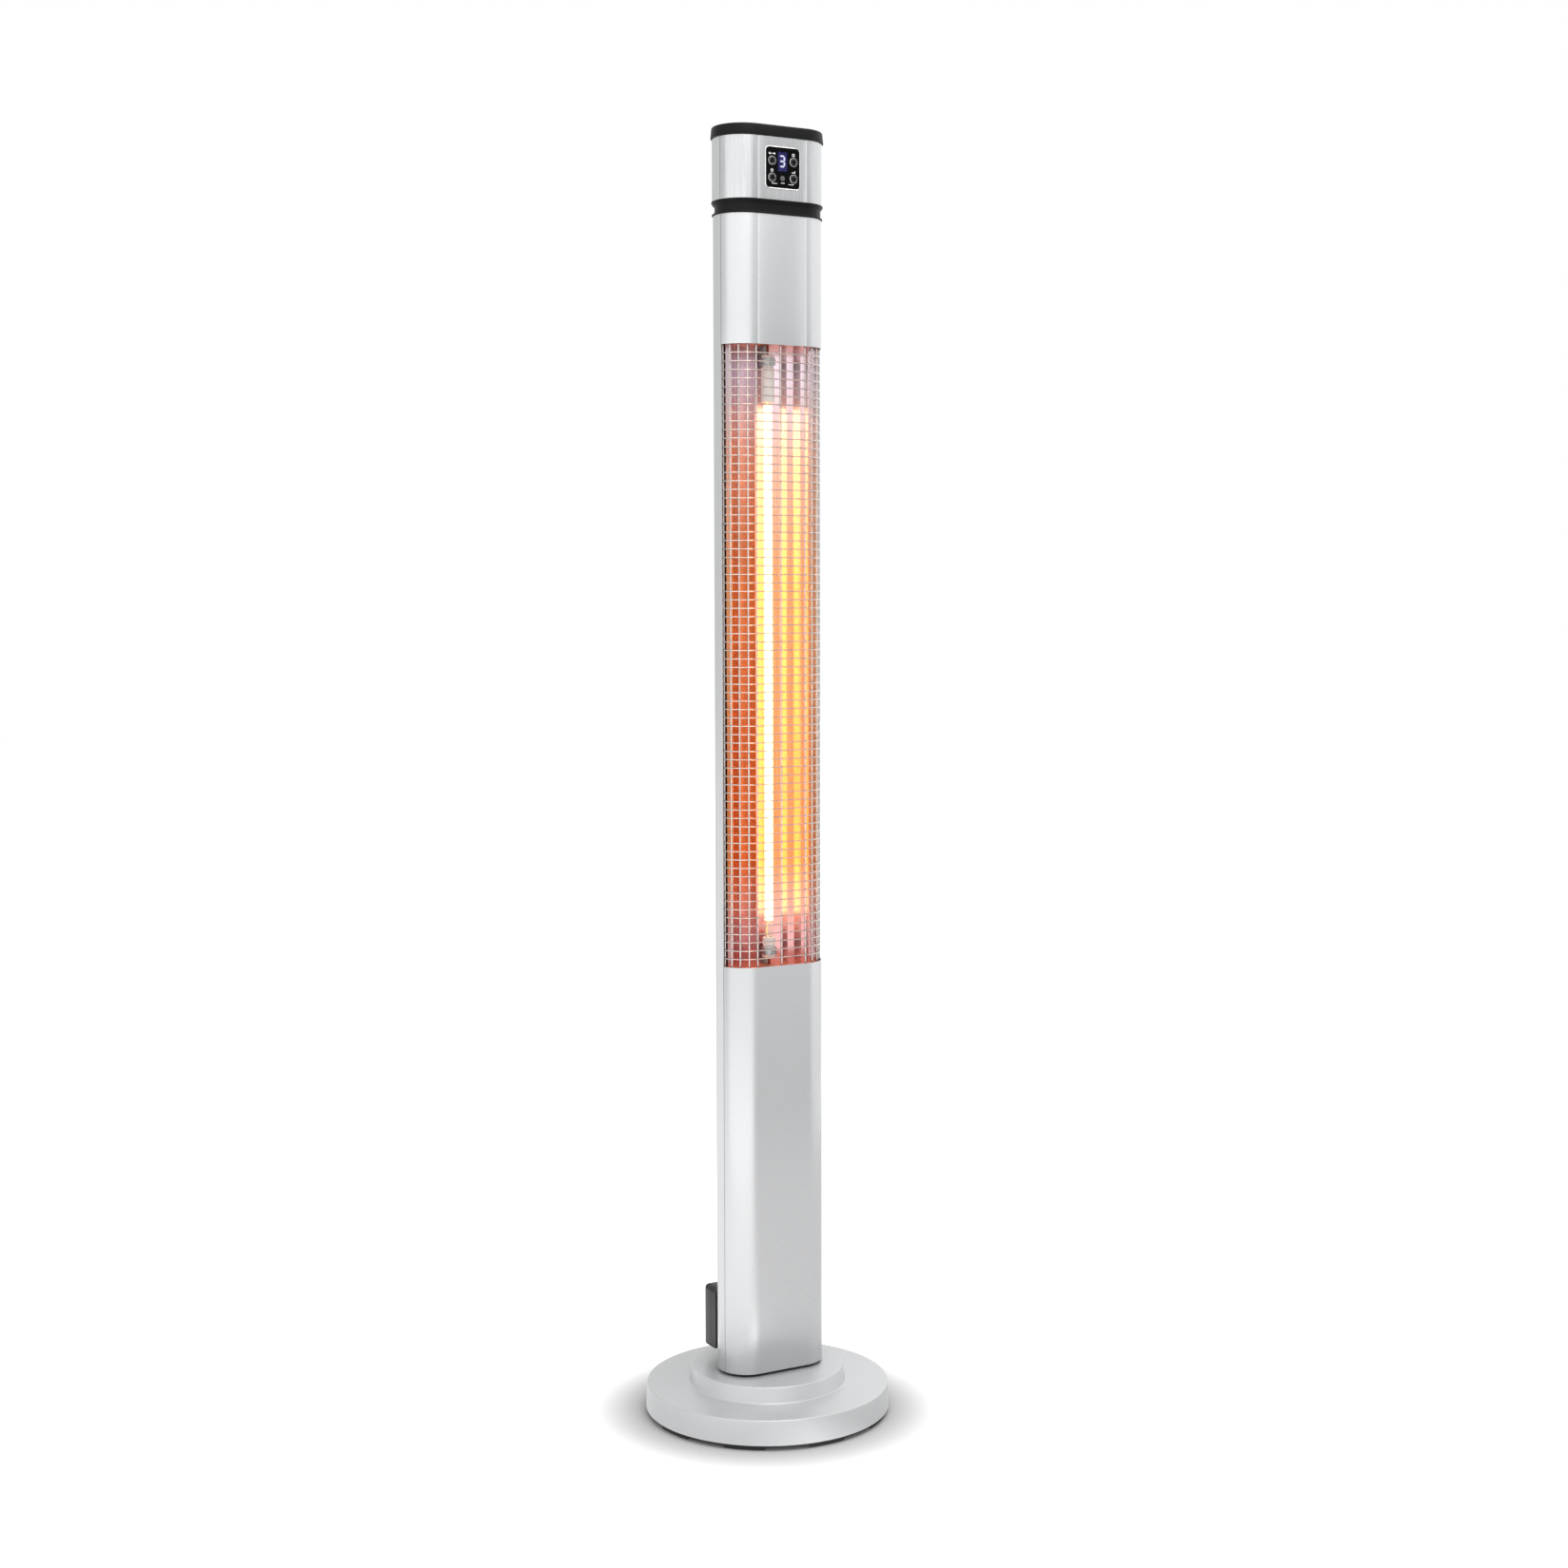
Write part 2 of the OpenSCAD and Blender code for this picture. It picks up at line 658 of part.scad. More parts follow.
// Swing drive
module swing_pinion() {
    color("ivory") translate([0, motor_y, 0]) {
        difference() {
            translate([0, 0, sector_z0 - fit]) rotate([0, 0, 270 + 180 / pinion_teeth])
                linear_extrude(gear_t + 2 * fit) polygon(gear_points(pinion_teeth));
            translate([0, 0, sector_z0 - cut])
                cylinder(d = shaft_d / 2, h = gear_t + 2 * cut, $fn = small_fn);
        }
        translate([0, 0, motor_z + motor_h / 2 + fit])
            cylinder(d = shaft_d, h = sector_z1 + thrust_t - motor_z - motor_h / 2, $fn = small_fn);
    }
}
module swing_gear_sector() {
    hub_r = pivot_r + sector_hub_t;
    reach = swing_reach + sector_spare;
    wide = 2 * gear_pitch_r;
    color("ivory") difference() {
        union() {
            intersection() {
                translate([0, 0, sector_z0]) rotate([0, 0, 90]) linear_extrude(gear_t)
                    polygon(gear_points(gear_teeth));
                translate([0, 0, sector_z0 - cut]) linear_extrude(gear_t + 2 * cut)
                    polygon([[0, 0], wide * [cos(90 - reach), sin(90 - reach)],
                        wide * [cos(90 - reach / 3), sin(90 - reach / 3)],
                        wide * [cos(90 + reach / 3), sin(90 + reach / 3)],
                        wide * [cos(90 + reach), sin(90 + reach)]]);
            }
            translate([0, 0, sector_z0 - sector_hub_drop]) cylinder(r = hub_r, h = gear_t + sector_hub_drop);
        }
        translate([0, 0, sector_z0 - sector_hub_drop - cut])
            cylinder(r = pivot_r + run_fit, h = gear_t + sector_hub_drop + 2 * cut);
    }
}
module pivot_tube() {
    color("gray") difference() {
        union() {
            translate([0, 0, spindle_low_z]) cylinder(r = pivot_r, h = foot_floor_z - spindle_low_z);
            translate([0, 0, foot_floor_z]) cylinder(r = spindle_flange_r, h = spindle_flange_t);
        }
        translate([0, 0, spindle_low_z - cut])
            cylinder(d = pivot_bore_d, h = foot_floor_z + spindle_flange_t - spindle_low_z + 2 * cut);
        spindle_screw_places() translate([0, 0, -foot_floor_t])
            cylinder(r = screw_r + fit, h = foot_floor_t + spindle_flange_t + cut, $fn = small_fn);
    }
}
module spindle_screw_places() {
    for (k = [0 : 3]) rotate([0, 0, 90 * k])
        translate([(pivot_r + spindle_flange_r) / 2, 0, foot_floor_z]) children();
}
module spindle_screws() {
    color("gray") spindle_screw_places() translate([0, 0, spindle_flange_t])
        pan_screw(screw_r - run_fit, screw_head_r, screw_head_h, spindle_flange_t + foot_floor_t / 2);
}
module pivot_nut() {
    color("gray") difference() {
        translate([0, 0, sector_z0 - sector_hub_drop - run_fit - nut_h])
            cylinder(r = nut_r, h = nut_h, $fn = 6);
        translate([0, 0, spindle_low_z - cut]) cylinder(r = pivot_r + run_fit, h = nut_h + 4 * cut);
    }
}

// Column
module column_foot() {
    color("black") difference() {
        section(clear_in, foot_z, foot_floor_t + foot_h - foot_wall_t);
        section(clear_in + foot_wall_t, foot_floor_z, foot_h);
        translate([0, 0, foot_z - cut]) cylinder(r = pivot_r + fit, h = foot_floor_t + 2 * cut);
        spindle_screw_places() translate([0, 0, -foot_floor_t / 2 - run_fit])
            cylinder(r = screw_r, h = foot_floor_t, $fn = small_fn);
        shell_screw_holes(screw_r, shell_screw_rows, back_y);
    }
}
module lips(z, h, grow = 0) {
    intersection() {
        section_ring(lip_in - grow, lip_in + shell_t - grow, z, h);
        slice(seam_y - lip_len, seam_y + lip_back, z, h);
    }
    intersection() {
        section_ring(shell_t / 2 - grow, lip_in + shell_t / 2 - grow, z, h);
        slice(seam_y + seam_gap / 2, seam_y + lip_back - seam_gap, z, h);
    }
}
module rear_part(z, h, grow = 0) {
    intersection() {
        section_ring(-grow, shell_t - grow, z, h);
        slice(seam_y + seam_gap / 2, back_y + column_d, z, h);
    }
}
module front_part(z, h, grow = 0) {
    intersection() {
        section_ring(-grow, shell_t - grow, z, h);
        slice(front_y - column_d, seam_y - seam_gap / 2, z, h);
    }
}
module rear_shell() {
    color("silver") difference() {
        union() {
            rear_part(column_z, neck_z - column_z);
            lips(column_z, floor_z - column_z);
            lips(ceiling_z, neck_z - ceiling_z);
        }
        shell_screw_holes(screw_r + fit, shell_screw_rows, back_y);
        y_bar(harness_r + 2 * fit, harness_x, back_y - end_r / 2, back_y + cut, harness_box_z);
    }
}
module lower_front_panel() {
    color("silver") front_part(column_z, lower_panel_h);
}
// A pressed line down the front at each end of the flat
module grooves(y, z, h) {
    for (side = [-1, 1]) translate([side * groove_x, y, z - cut]) rotate([0, 0, 45])
        translate([-groove_w / 2, -groove_w / 2, 0]) cube([groove_w, groove_w, h + 2 * cut]);
}
module upper_front_panel() {
    color("silver") difference() {
        front_part(guard_z1, upper_panel_h);
        grooves(front_y, guard_z1, upper_panel_h);
    }
}

// Heating chamber
module chamber_plate(z, up) {
    tab_z = up > 0 ? z + chamber_t : z - tab_h;
    tab_y = inner_back_y - fit;
    difference() {
        union() {
            section(clear_in, z, chamber_t);
            translate([-tab_w / 2, mid_y, z]) cube([tab_w, tab_y - mid_y, chamber_t]);
            translate([-tab_w / 2, tab_y - chamber_t, tab_z - (up > 0 ? chamber_t : 0)])
                cube([tab_w, chamber_t, tab_h + chamber_t]);
        }
        harness_way(z, chamber_t);
        translate([0, mid_y, z - cut]) cylinder(r = 2 * lead_r, h = chamber_t + 2 * cut, $fn = small_fn);
        shell_screw_holes(screw_r, shell_screw_rows, back_y);
    }
}
module chamber_floor() {
    color("silver") chamber_plate(floor_z - chamber_t, -1);
}
module chamber_ceiling() {
    color("silver") chamber_plate(ceiling_z, 1);
}
module reflector() {
    last = len(reflector_x_shares) - 1;
    half = [for (i = [0 : last]) [reflector_x_shares[i] * column_w / 2, mid_y + reflector_y_shares[i] * end_r]];
    path = concat([for (i = [last : -1 : 1]) [-half[i][0], half[i][1]]], half);
    back = beside(path, reflector_t);
    color("white") translate([0, 0, floor_z]) linear_extrude(ceiling_z - floor_z)
        polygon(concat(path, [for (i = [len(back) - 1 : -1 : 0]) back[i]]));
}
module heating_tube() {
    length = filament_z1 + 2 * high_cap_over - tube_low_z;
    color("white") translate([0, mid_y, tube_low_z]) difference() {
        cylinder(d = tube_d, h = length, $fn = small_fn);
        translate([0, 0, -cut]) cylinder(d = tube_d - 2 * tube_wall, h = length + 2 * cut, $fn = small_fn);
    }
}
module filament() {
    color("orange") translate([0, mid_y, filament_z0])
        cylinder(r = filament_r, h = filament_z1 - filament_z0, $fn = small_fn);
}
module tube_end_caps() {
    low_z = floor_z + low_cap_gap;
    high_z = filament_z1 + high_cap_over;
    high_end = ceiling_z - high_cap_gap;
    color("white") {
        translate([0, mid_y, low_z]) difference() {
            cylinder(r = cap_r, h = low_cap_h, $fn = small_fn);
            translate([0, 0, low_cap_h - high_cap_over])
                cylinder(d = tube_d + 2 * run_fit, h = high_cap_over + cut, $fn = small_fn);
            translate([0, 0, -cut]) cylinder(r = lead_r + fit, h = low_cap_h, $fn = small_fn);
        }
        translate([0, mid_y, high_z]) difference() {
            cylinder(r = cap_r, h = high_end - high_z, $fn = small_fn);
            translate([0, 0, -cut])
                cylinder(d = tube_d + 2 * run_fit, h = high_cap_over + cut, $fn = small_fn);
            cylinder(r = lead_r + fit, h = high_end - high_z + cut, $fn = small_fn);
        }
    }
}
// One clip: a ring round the ceramic end on a bent leg from the plate at z 0
module tube_clip(ring_z) {
    ring_r = cap_r + 2 * run_fit;
    difference() {
        union() {
            translate([0, 0, ring_z]) cylinder(r = ring_r + clip_t, h = clip_h, $fn = small_fn);
            translate([-clip_w / 2, ring_r + run_fit, 0]) cube([clip_w, clip_t, ring_z + clip_h]);
            translate([-clip_w / 2, ring_r + run_fit, 0]) cube([clip_w, clip_foot, clip_t]);
        }
        translate([0, 0, ring_z - cut]) cylinder(r = ring_r, h = clip_h + 2 * cut, $fn = small_fn);
    }
}
module tube_clips() {
    color("gray") {
        translate([0, mid_y, floor_z]) tube_clip(low_cap_gap + clip_h / 2);
        translate([0, mid_y, ceiling_z]) mirror([0, 0, 1]) tube_clip(high_cap_gap + clip_h / 2);
    }
}
module tube_leads() {
    low_out = floor_z - chamber_t - tab_h / 2;
    high_out = ceiling_z + chamber_t + tab_h / 2;
    low_cap_top = tube_low_z + tube_wall;
    high_z = filament_z0 - lead_wire_r;
    half = (high_z - low_cap_top) / 2;
    bow_r = (half * half + lead_bow * lead_bow) / 2 / lead_bow;
    bow_turn = asin(half / bow_r);
    toward = [harness_x, harness_y - mid_y] / norm([harness_x, harness_y - mid_y]);
    reach = norm([harness_x, harness_y - mid_y]) - harness_r - fit;
    color("orange") {
        translate([bow_r - lead_bow, mid_y, high_z - half]) rotate([90, 0, 0])
            rotate([0, 0, 180 - bow_turn]) rotate_extrude(angle = 2 * bow_turn)
            translate([bow_r, 0]) circle(r = lead_wire_r, $fn = small_fn);
        for (end = [[low_out, floor_z + low_cap_gap + low_cap_h / 2],
                    [high_out, ceiling_z - high_cap_gap - low_cap_h / 2]]) {
            run([0, mid_y, end[1]], [0, mid_y, end[0]], lead_r);
            knee([0, mid_y, end[0]], lead_r);
            run([0, mid_y, end[0]], [reach * toward[0], mid_y + reach * toward[1], end[0]], lead_r);
        }
    }
}

// Guard
// One wire: two bent ends, and a straight middle that runs a little way into them
module guard_wire(z) {
    turn = 90 - wire_end_angle;
    reach = end_x + wire_r;
    color("silver") translate([0, mid_y, z]) {
        for (side = [0, 1]) translate([(2 * side - 1) * end_x, 0, 0])
            rotate([0, 0, side == 0 ? 180 + wire_end_angle : 270])
                rotate_extrude(angle = turn) translate([wire_ring_r, 0]) circle(r = wire_r, $fn = 16);
        translate([-reach, -wire_ring_r, 0]) rotate([0, 90, 0])
            cylinder(r = wire_r - wire_taper, h = 2 * reach, $fn = 16);
    }
}
module guard_upright(x, y) {
    translate([x, y, floor_z]) cylinder(d = upright_d, h = ceiling_z - floor_z, $fn = 16);
}
module wire_guard() {
    step = (90 - end_upright_angle) / upright_gaps;
    margin = (guard_h - wire_pitch * (wire_count - 1)) / 2;
    for (k = [0 : wire_count - 1]) guard_wire(guard_z0 + margin + wire_pitch * k);
    color("silver") {
        for (side = [-1, 1], k = [0 : upright_gaps])
            let (a = end_upright_angle + step * k)
            guard_upright(side * (end_x + upright_ring_r * cos(a)), mid_y - upright_ring_r * sin(a));
        guard_upright(0, mid_y - upright_ring_r);
    }
}
module thermal_cutout() {
    color("dimgray") translate([cutout_x, mid_y, ceiling_z + chamber_t]) {
        translate([-cutout_tab[0] / 2, -cutout_tab[1] / 2, 0]) cube(cutout_tab);
        cylinder(r = cutout_r, h = cutout_h, $fn = small_fn);
    }
}
module tip_over_switch() {
    color("dimgray") translate([tip_x - tip_size[0] / 2, mid_y - tip_size[1] / 2, foot_floor_z])
        cube(tip_size);
}

// Wiring
module wiring_harness() {
    low = [harness_x, harness_y, harness_low_z];
    over_mouth = [0, 0, harness_low_z];
    to_box = [harness_x, harness_y, harness_box_z];
    in_box = [harness_x, box_y + box_wall + terminal_size[1] / 2, harness_box_z];
    high = [harness_x, harness_y, harness_high_z];
    ribbon_x = -power_w / 2 + ribbon[0];
    color("#303030") {
        run(low, high, harness_r);
        knee(low, harness_r);
        run(low, over_mouth, branch_r);
        knee(over_mouth, branch_r);
        run(over_mouth, [0, 0, foot_floor_z + spindle_flange_t + mouth_gap], branch_r);
        run(to_box, in_box, branch_r);
        knee(in_box, branch_r);
        run(in_box, [terminal_size[0] / 2 + fit, in_box[1], in_box[2]], branch_r);
        knee(high, harness_r);
        run(high, [harness_x, power_y + fit, harness_high_z], branch_r);
        translate([ribbon_x, board_y + board_t + fit, panel_z])
            cube([ribbon[0], power_y - board_t - board_y - board_t - 2 * fit, ribbon[1]]);
    }
}
module cable_clips() {
    color("black") for (z = clip_z)
        translate([harness_x, harness_y, z]) difference() {
            translate([-clip_block_w / 2, inner_back_y - fit - harness_y - clip_block_d, 0])
                cube([clip_block_w, clip_block_d, clip_block_h]);
            translate([0, 0, -cut])
                cylinder(r = harness_r + run_fit, h = clip_block_h + 2 * cut, $fn = small_fn);
        }
}

// Neck and head
module neck_collar() {
    waist_z = neck_z + lip_h;
    flange_z = head_z - flange_h;
    color("#282828") difference() {
        union() {
            section_ring(-lip_proud, sleeve_in, neck_z, lip_h);
            translate([0, -waist_forward, 0])
                section_ring(waist_in, sleeve_in, waist_z - shell_t / 2, flange_z - waist_z + shell_t);
            section_ring(-head_grow - flange_proud, sleeve_in, flange_z + flange_h / 2, flange_h / 2);
            section_ring(-head_grow / 2, sleeve_in, flange_z, flange_h / 2);
            section_ring(clear_in, sleeve_in, neck_z - spigot_h, spigot_h + neck_h);
            section_ring(clear_in - head_grow, clear_in - head_grow + spigot_t, flange_z + flange_h / 2,
                spigot_h + flange_h / 2);
            section(clear_in, waist_z, web_t);
            back_pad(inner_back_y - fit, neck_z - spigot_h, spigot_h);
            back_pad(inner_back_y + head_grow - fit, head_z, spigot_h);
        }
        section(sleeve_in, waist_z + web_t, neck_h + spigot_h);
        translate([0, mid_y, neck_z]) cylinder(r = web_hole_r, h = neck_h);
        harness_way(neck_z - spigot_h, neck_h + 2 * spigot_h);
        shell_screw_holes(screw_r, shell_screw_rows, back_y);
        shell_screw_holes(screw_r, head_screw_rows, back_y + head_grow);
    }
}
module head_rear_shell() {
    color("silver") {
        difference() {
            union() {
                rear_part(head_z, head_h, head_grow);
                lips(head_z, head_h, head_grow);
            }
            shell_screw_holes(screw_r + fit, head_screw_rows, back_y + head_grow);
        }
        for (i = [-1, 1], j = [-1, 1])
            y_bar(stud_r, i * stud_x, power_y, back_y + head_grow - shell_t / 2, panel_z + j * stud_z);
    }
}
module head_front_panel() {
    color("silver") difference() {
        front_part(head_z, head_h, head_grow);
        grooves(head_front_y, head_z, head_h);
        upright_plate(plug_w + 2 * fit, plug_h + 2 * fit, plug_r, head_front_y - cut, shell_t + 2 * cut,
            0, panel_z);
    }
}
module top_cap() {
    outer = end_r + head_grow + cap_proud;
    skirt = cap_proud - fit;
    color("#282828") difference() {
        union() {
            section_turned() polygon(rounded(
                [[0, cap_z], [outer, cap_z], [outer - cap_lean, top_z], [0, top_z]],
                [0, 0, cap_round, 0]));
            section_ring(clear_in - head_grow, clear_in - head_grow + spigot_t, cap_z - spigot_h,
                spigot_h + cap_t);
            back_pad(inner_back_y + head_grow - fit, cap_z - spigot_h, spigot_h + cap_t);
            section_turned() translate([outer - skirt, cap_z - cap_lap]) square([skirt, 2 * cap_lap]);
        }
        section(clear_in - head_grow + spigot_t, cap_z - spigot_h - cut, spigot_h + cap_h - cap_t + cut);
        shell_screw_holes(screw_r, head_screw_rows, back_y + head_grow);
    }
}
module shell_screws() {
    color("gray") {
        for (z = shell_screw_rows, side = [-1, 1]) translate([side * shell_screw_x, back_y, z])
            rotate([-90, 0, 0]) pan_screw(screw_r - run_fit, screw_head_r, screw_head_h, shell_screw_len);
        for (z = head_screw_rows, side = [-1, 1]) translate([side * shell_screw_x, back_y + head_grow, z])
            rotate([-90, 0, 0]) pan_screw(screw_r - run_fit, screw_head_r, screw_head_h, shell_screw_len);
    }
}

// Control panel
module fascia_bezel() {
    color("silver") difference() {
        upright_plate(panel_w, panel_h, panel_r, head_front_y - bezel_h, bezel_h, 0, panel_z);
        upright_plate(plug_w + 2 * fit, plug_h + 2 * fit, plug_r, head_front_y - bezel_h - cut,
            bezel_h + 2 * cut, 0, panel_z);
    }
}
module button_places() {
    for (i = [-1, 1], j = [-button_low, button_high]) translate([i * button_x, 0, panel_z + j]) children();
}
module control_fascia() {
    flange_w = plug_w + 2 * fascia_flange;
    flange_h2 = plug_h + 2 * fascia_flange;
    color("#101010") difference() {
        union() {
            upright_plate(plug_w, plug_h, plug_r, fascia_front_y, flange_back_y - fascia_front_y, 0, panel_z);
            upright_plate(flange_w, flange_h2, plug_r, flange_front_y, fascia_flange_t, 0, panel_z);
            for (i = [-1, 1], j = [-1, 1])
                y_bar(post_r, i * post_x, flange_back_y - fascia_flange_t, board_y, panel_z + j * post_z);
        }
        button_places() y_bar(button_d / 2 + button_gap, 0, fascia_front_y - cut, flange_back_y + cut, 0);
        upright_plate(window_w, window_h, window_ledge, fascia_front_y - cut, window_t + cut,
            0, panel_z + window_z);
        upright_plate(window_w - 2 * window_ledge, window_h - 2 * window_ledge, window_ledge / 2,
            fascia_front_y, flange_back_y - fascia_front_y + cut, 0, panel_z + window_z);
        y_bar(ir_r, 0, fascia_front_y - cut, fascia_front_y + window_t, panel_z - ir_z);
        y_bar(ir_r - ir_ledge, 0, fascia_front_y, flange_back_y + cut, panel_z - ir_z);
    }
}
module display_window() {
    color("midnightblue") upright_plate(window_w - 2 * fit, window_h - 2 * fit, window_ledge,
        fascia_front_y + run_fit, window_t - 2 * run_fit, 0, panel_z + window_z);
}
module ir_window() {
    color("dimgray") y_bar(ir_r - fit, 0, fascia_front_y + run_fit, fascia_front_y + window_t - run_fit,
        panel_z - ir_z);
}
module display_module() {
    w = window_w - 2 * window_ledge - 2 * fit;
    h = window_h - 2 * window_ledge - 2 * fit;
    y0 = fascia_front_y + window_t + fit;
    color("white") upright_plate(w, h, window_ledge / 2 - fit, y0, board_y - y0, 0, panel_z + window_z);
}
module control_board() {
    color("darkgreen") upright_plate(plug_w + 2 * board_in, plug_h + 2 * board_in, plug_r, board_y, board_t,
        0, panel_z);
}
module tact_switches() {
    color("dimgray") button_places() {
        translate([-switch_w / 2, board_y - switch_h, -switch_w / 2]) cube([switch_w, switch_h, switch_w]);
        y_bar(plunger_r, 0, board_y - switch_h - plunger_h, board_y - switch_h / 2, 0);
    }
}
// A push button: cap through the fascia, collar behind it and a stem over its switch
module push_button(x, z) {
    collar_y = flange_back_y + fit;
    color("black") {
        y_bar(button_d / 2, x, fascia_front_y - button_proud, collar_y + button_flange_t / 2, z);
        y_bar(button_d / 2 + button_flange, x, collar_y, collar_y + button_flange_t, z);
        y_bar(button_stem_r, x, collar_y + button_flange_t / 2, collar_y + button_flange_t + button_stem, z);
    }
}
module button_swing() {
    push_button(-button_x, panel_z + button_high);
}
module button_timer() {
    push_button(button_x, panel_z + button_high);
}
module button_off() {
    push_button(-button_x, panel_z - button_low);
}
module button_mode() {
    push_button(button_x, panel_z - button_low);
}

// Power electronics
module power_board() {
    color("darkgreen") translate([-power_w / 2, power_y - board_t, panel_z - power_h / 2])
        cube([power_w, board_t, power_h]);
}
module relays() {
    color("royalblue") for (side = [-1, 1])
        translate([side * relay_x - relay_size[0] / 2, power_y - board_t - relay_size[1],
            panel_z + relay_z - relay_size[2] / 2]) cube(relay_size);
}
module heat_sink() {
    step = (sink_size[0] - fin_t) / (fin_count - 1);
    color("silver") translate([-sink_size[0] / 2, power_y - board_t - sink_size[1],
        panel_z + sink_z - sink_size[2] / 2]) {
        translate([0, sink_size[1] - sink_base, 0]) cube([sink_size[0], sink_base, sink_size[2]]);
        for (k = [0 : fin_count - 1]) translate([k * step, 0, 0])
            cube([fin_t, sink_size[1] - sink_base / 2, sink_size[2]]);
    }
}

// Rear box
module box_outline(inset, y0, y1) {
    upright_plate(box_w - 2 * inset, box_h - 2 * inset, box_round - inset, y0, y1 - y0, 0, box_z + box_h / 2);
}
// Side view of the box: its underside bellies down and its outer edges are rounded
module box_side() {
    belly_y = box_y + box_belly_share * (box_end_y - box_y);
    translate([-box_w / 2 - cut, 0, 0]) rotate([90, 0, 90]) linear_extrude(box_w + 2 * cut)
        polygon(rounded([[box_y - cut, box_z + box_h + cut], [box_y - cut, box_z + box_belly],
            [belly_y, box_z], [box_end_y - box_edge, box_z], [box_end_y, box_z + box_edge],
            [box_end_y, box_z + box_h], [box_y + box_edge, box_z + box_h], [box_y, box_z + box_h]],
            [0, 0, box_edge, box_edge, box_edge, box_edge, 0, 0]));
}
module box_plan() {
    translate([0, 0, box_z - cut]) linear_extrude(box_h + 2 * cut)
        polygon(rounded([[-box_w / 2, box_y - cut], [box_w / 2, box_y - cut],
            [box_w / 2, box_end_y], [-box_w / 2, box_end_y]], [0, 0, box_edge, box_edge]));
}
module box_screw_places() {
    for (side = [-1, 1], z = [box_z + box_screw_in, box_z + box_h - box_screw_in])
        translate([side * box_screw_x, 0, z]) children();
}
module rear_box_gasket() {
    color("#202020") difference() {
        translate([-end_x, back_y, box_z + box_belly]) cube([2 * end_x, box_gasket_t, box_h - 2 * box_belly]);
        y_bar(harness_r + 2 * fit, harness_x, back_y - cut, box_y + cut, harness_box_z);
    }
}
module rear_box_base() {
    split_y = box_y + box_split;
    color("#303030") difference() {
        intersection() {
            union() {
                box_outline(box_step_in, box_y, box_y + box_step + cut);
                box_outline(0, box_y + box_step, split_y - box_seam);
            }
            box_side();
        }
        difference() {
            box_outline(box_step_in + box_wall, box_y + box_wall, split_y + cut);
            box_screw_places() y_bar(box_boss_r, 0, box_y, split_y + 2 * cut, 0);
            translate([-box_w, box_y, box_z - cut]) cube([2 * box_w, box_d, box_belly + box_wall + cut]);
        }
        box_screw_places() y_bar(screw_r, 0, box_y + box_wall, split_y + cut, 0);
        y_bar(harness_r + 2 * fit, harness_x, back_y - cut, box_y + box_wall + cut, harness_box_z);
    }
}
module rear_box_cover() {
    split_y = box_y + box_split;
    color("#303030") difference() {
        intersection() {
            box_outline(0, split_y, box_end_y);
            box_side();
            box_plan();
        }
        difference() {
            box_outline(box_wall, split_y - cut, box_end_y - box_wall);
            box_screw_places() y_bar(box_boss_r, 0, split_y - 2 * cut, box_end_y, 0);
        }
        box_screw_places() {
            y_bar(screw_r + fit, 0, split_y - cut, box_end_y + cut, 0);
            y_bar(screw_head_r + fit, 0, box_end_y - box_screw_recess, box_end_y + cut, 0);
        }
        y_bar(gland_r + fit, 0, box_end_y - box_wall - cut, box_end_y + cut, box_z + gland_z);
    }
}
module rear_box_screws() {
    color("gray") box_screw_places() translate([0, box_end_y - box_screw_recess, 0]) rotate([-90, 0, 0])
        pan_screw(screw_r - run_fit, screw_head_r, screw_head_h,
            box_end_y - box_screw_recess - box_y - box_split / 2);
}
module terminal_block() {
    color("ivory") translate([-terminal_size[0] / 2, box_y + box_wall, harness_box_z - terminal_size[2] / 2])
        cube(terminal_size);
}
// Cable gland: threaded body through the cover, six-sided collar and a domed clamp nut outside
module cable_gland() {
    z = box_z + gland_z;
    wall_y = box_end_y - box_wall;
    nose_y = box_end_y + gland_hex_h;
    color("black") difference() {
        union() {
            y_bar(gland_r, 0, wall_y - gland_inside, box_end_y + gland_hex_h / 2, z);
            translate([0, nose_y, z]) rotate([90, 0, 0]) cylinder(r = gland_hex_r, h = gland_hex_h, $fn = 6);
            translate([0, nose_y, z]) rotate([-90, 0, 0]) rotate_extrude($fn = small_fn)
                polygon(rounded([[0, -gland_hex_h / 2], [gland_nose_r, -gland_hex_h / 2],
                    [gland_nose_r, gland_nose], [0, gland_nose]], [0, 0, gland_hex_h / 2, 0]));
        }
        y_bar(gland_bore_r, 0, wall_y - gland_inside - cut, nose_y + gland_nose + cut, z);
    }
}
module gland_nut() {
    color("black") difference() {
        translate([0, box_end_y - box_wall, box_z + gland_z]) rotate([90, 0, 0])
            cylinder(r = gland_hex_r, h = gland_flat_h, $fn = 6);
        y_bar(gland_r + run_fit, 0, box_end_y - box_wall - gland_inside, box_end_y, box_z + gland_z);
    }
}

base_cover();
base_weight();
base_bottom_plate();
rubber_feet();
base_screws();
pivot_housing();
pivot_bush();
thrust_ring();
swing_motor();
motor_bracket();
mechanism_screws();
motor_leads();
swing_pinion();
column_foot();
pivot_tube();
spindle_screws();
swing_gear_sector();
pivot_nut();
rear_shell();
lower_front_panel();
upper_front_panel();
chamber_floor();
chamber_ceiling();
reflector();
heating_tube();
filament();
tube_end_caps();
tube_clips();
tube_leads();
wire_guard();
thermal_cutout();
tip_over_switch();
wiring_harness();
cable_clips();
neck_collar();
head_rear_shell();
head_front_panel();
top_cap();
shell_screws();
fascia_bezel();
control_fascia();
display_window();
display_module();
ir_window();
control_board();
tact_switches();
power_board();
relays();
heat_sink();
rear_box_gasket();
rear_box_base();
rear_box_cover();
rear_box_screws();
terminal_block();
cable_gland();
gland_nut();
button_swing();
button_timer();
button_off();
button_mode();
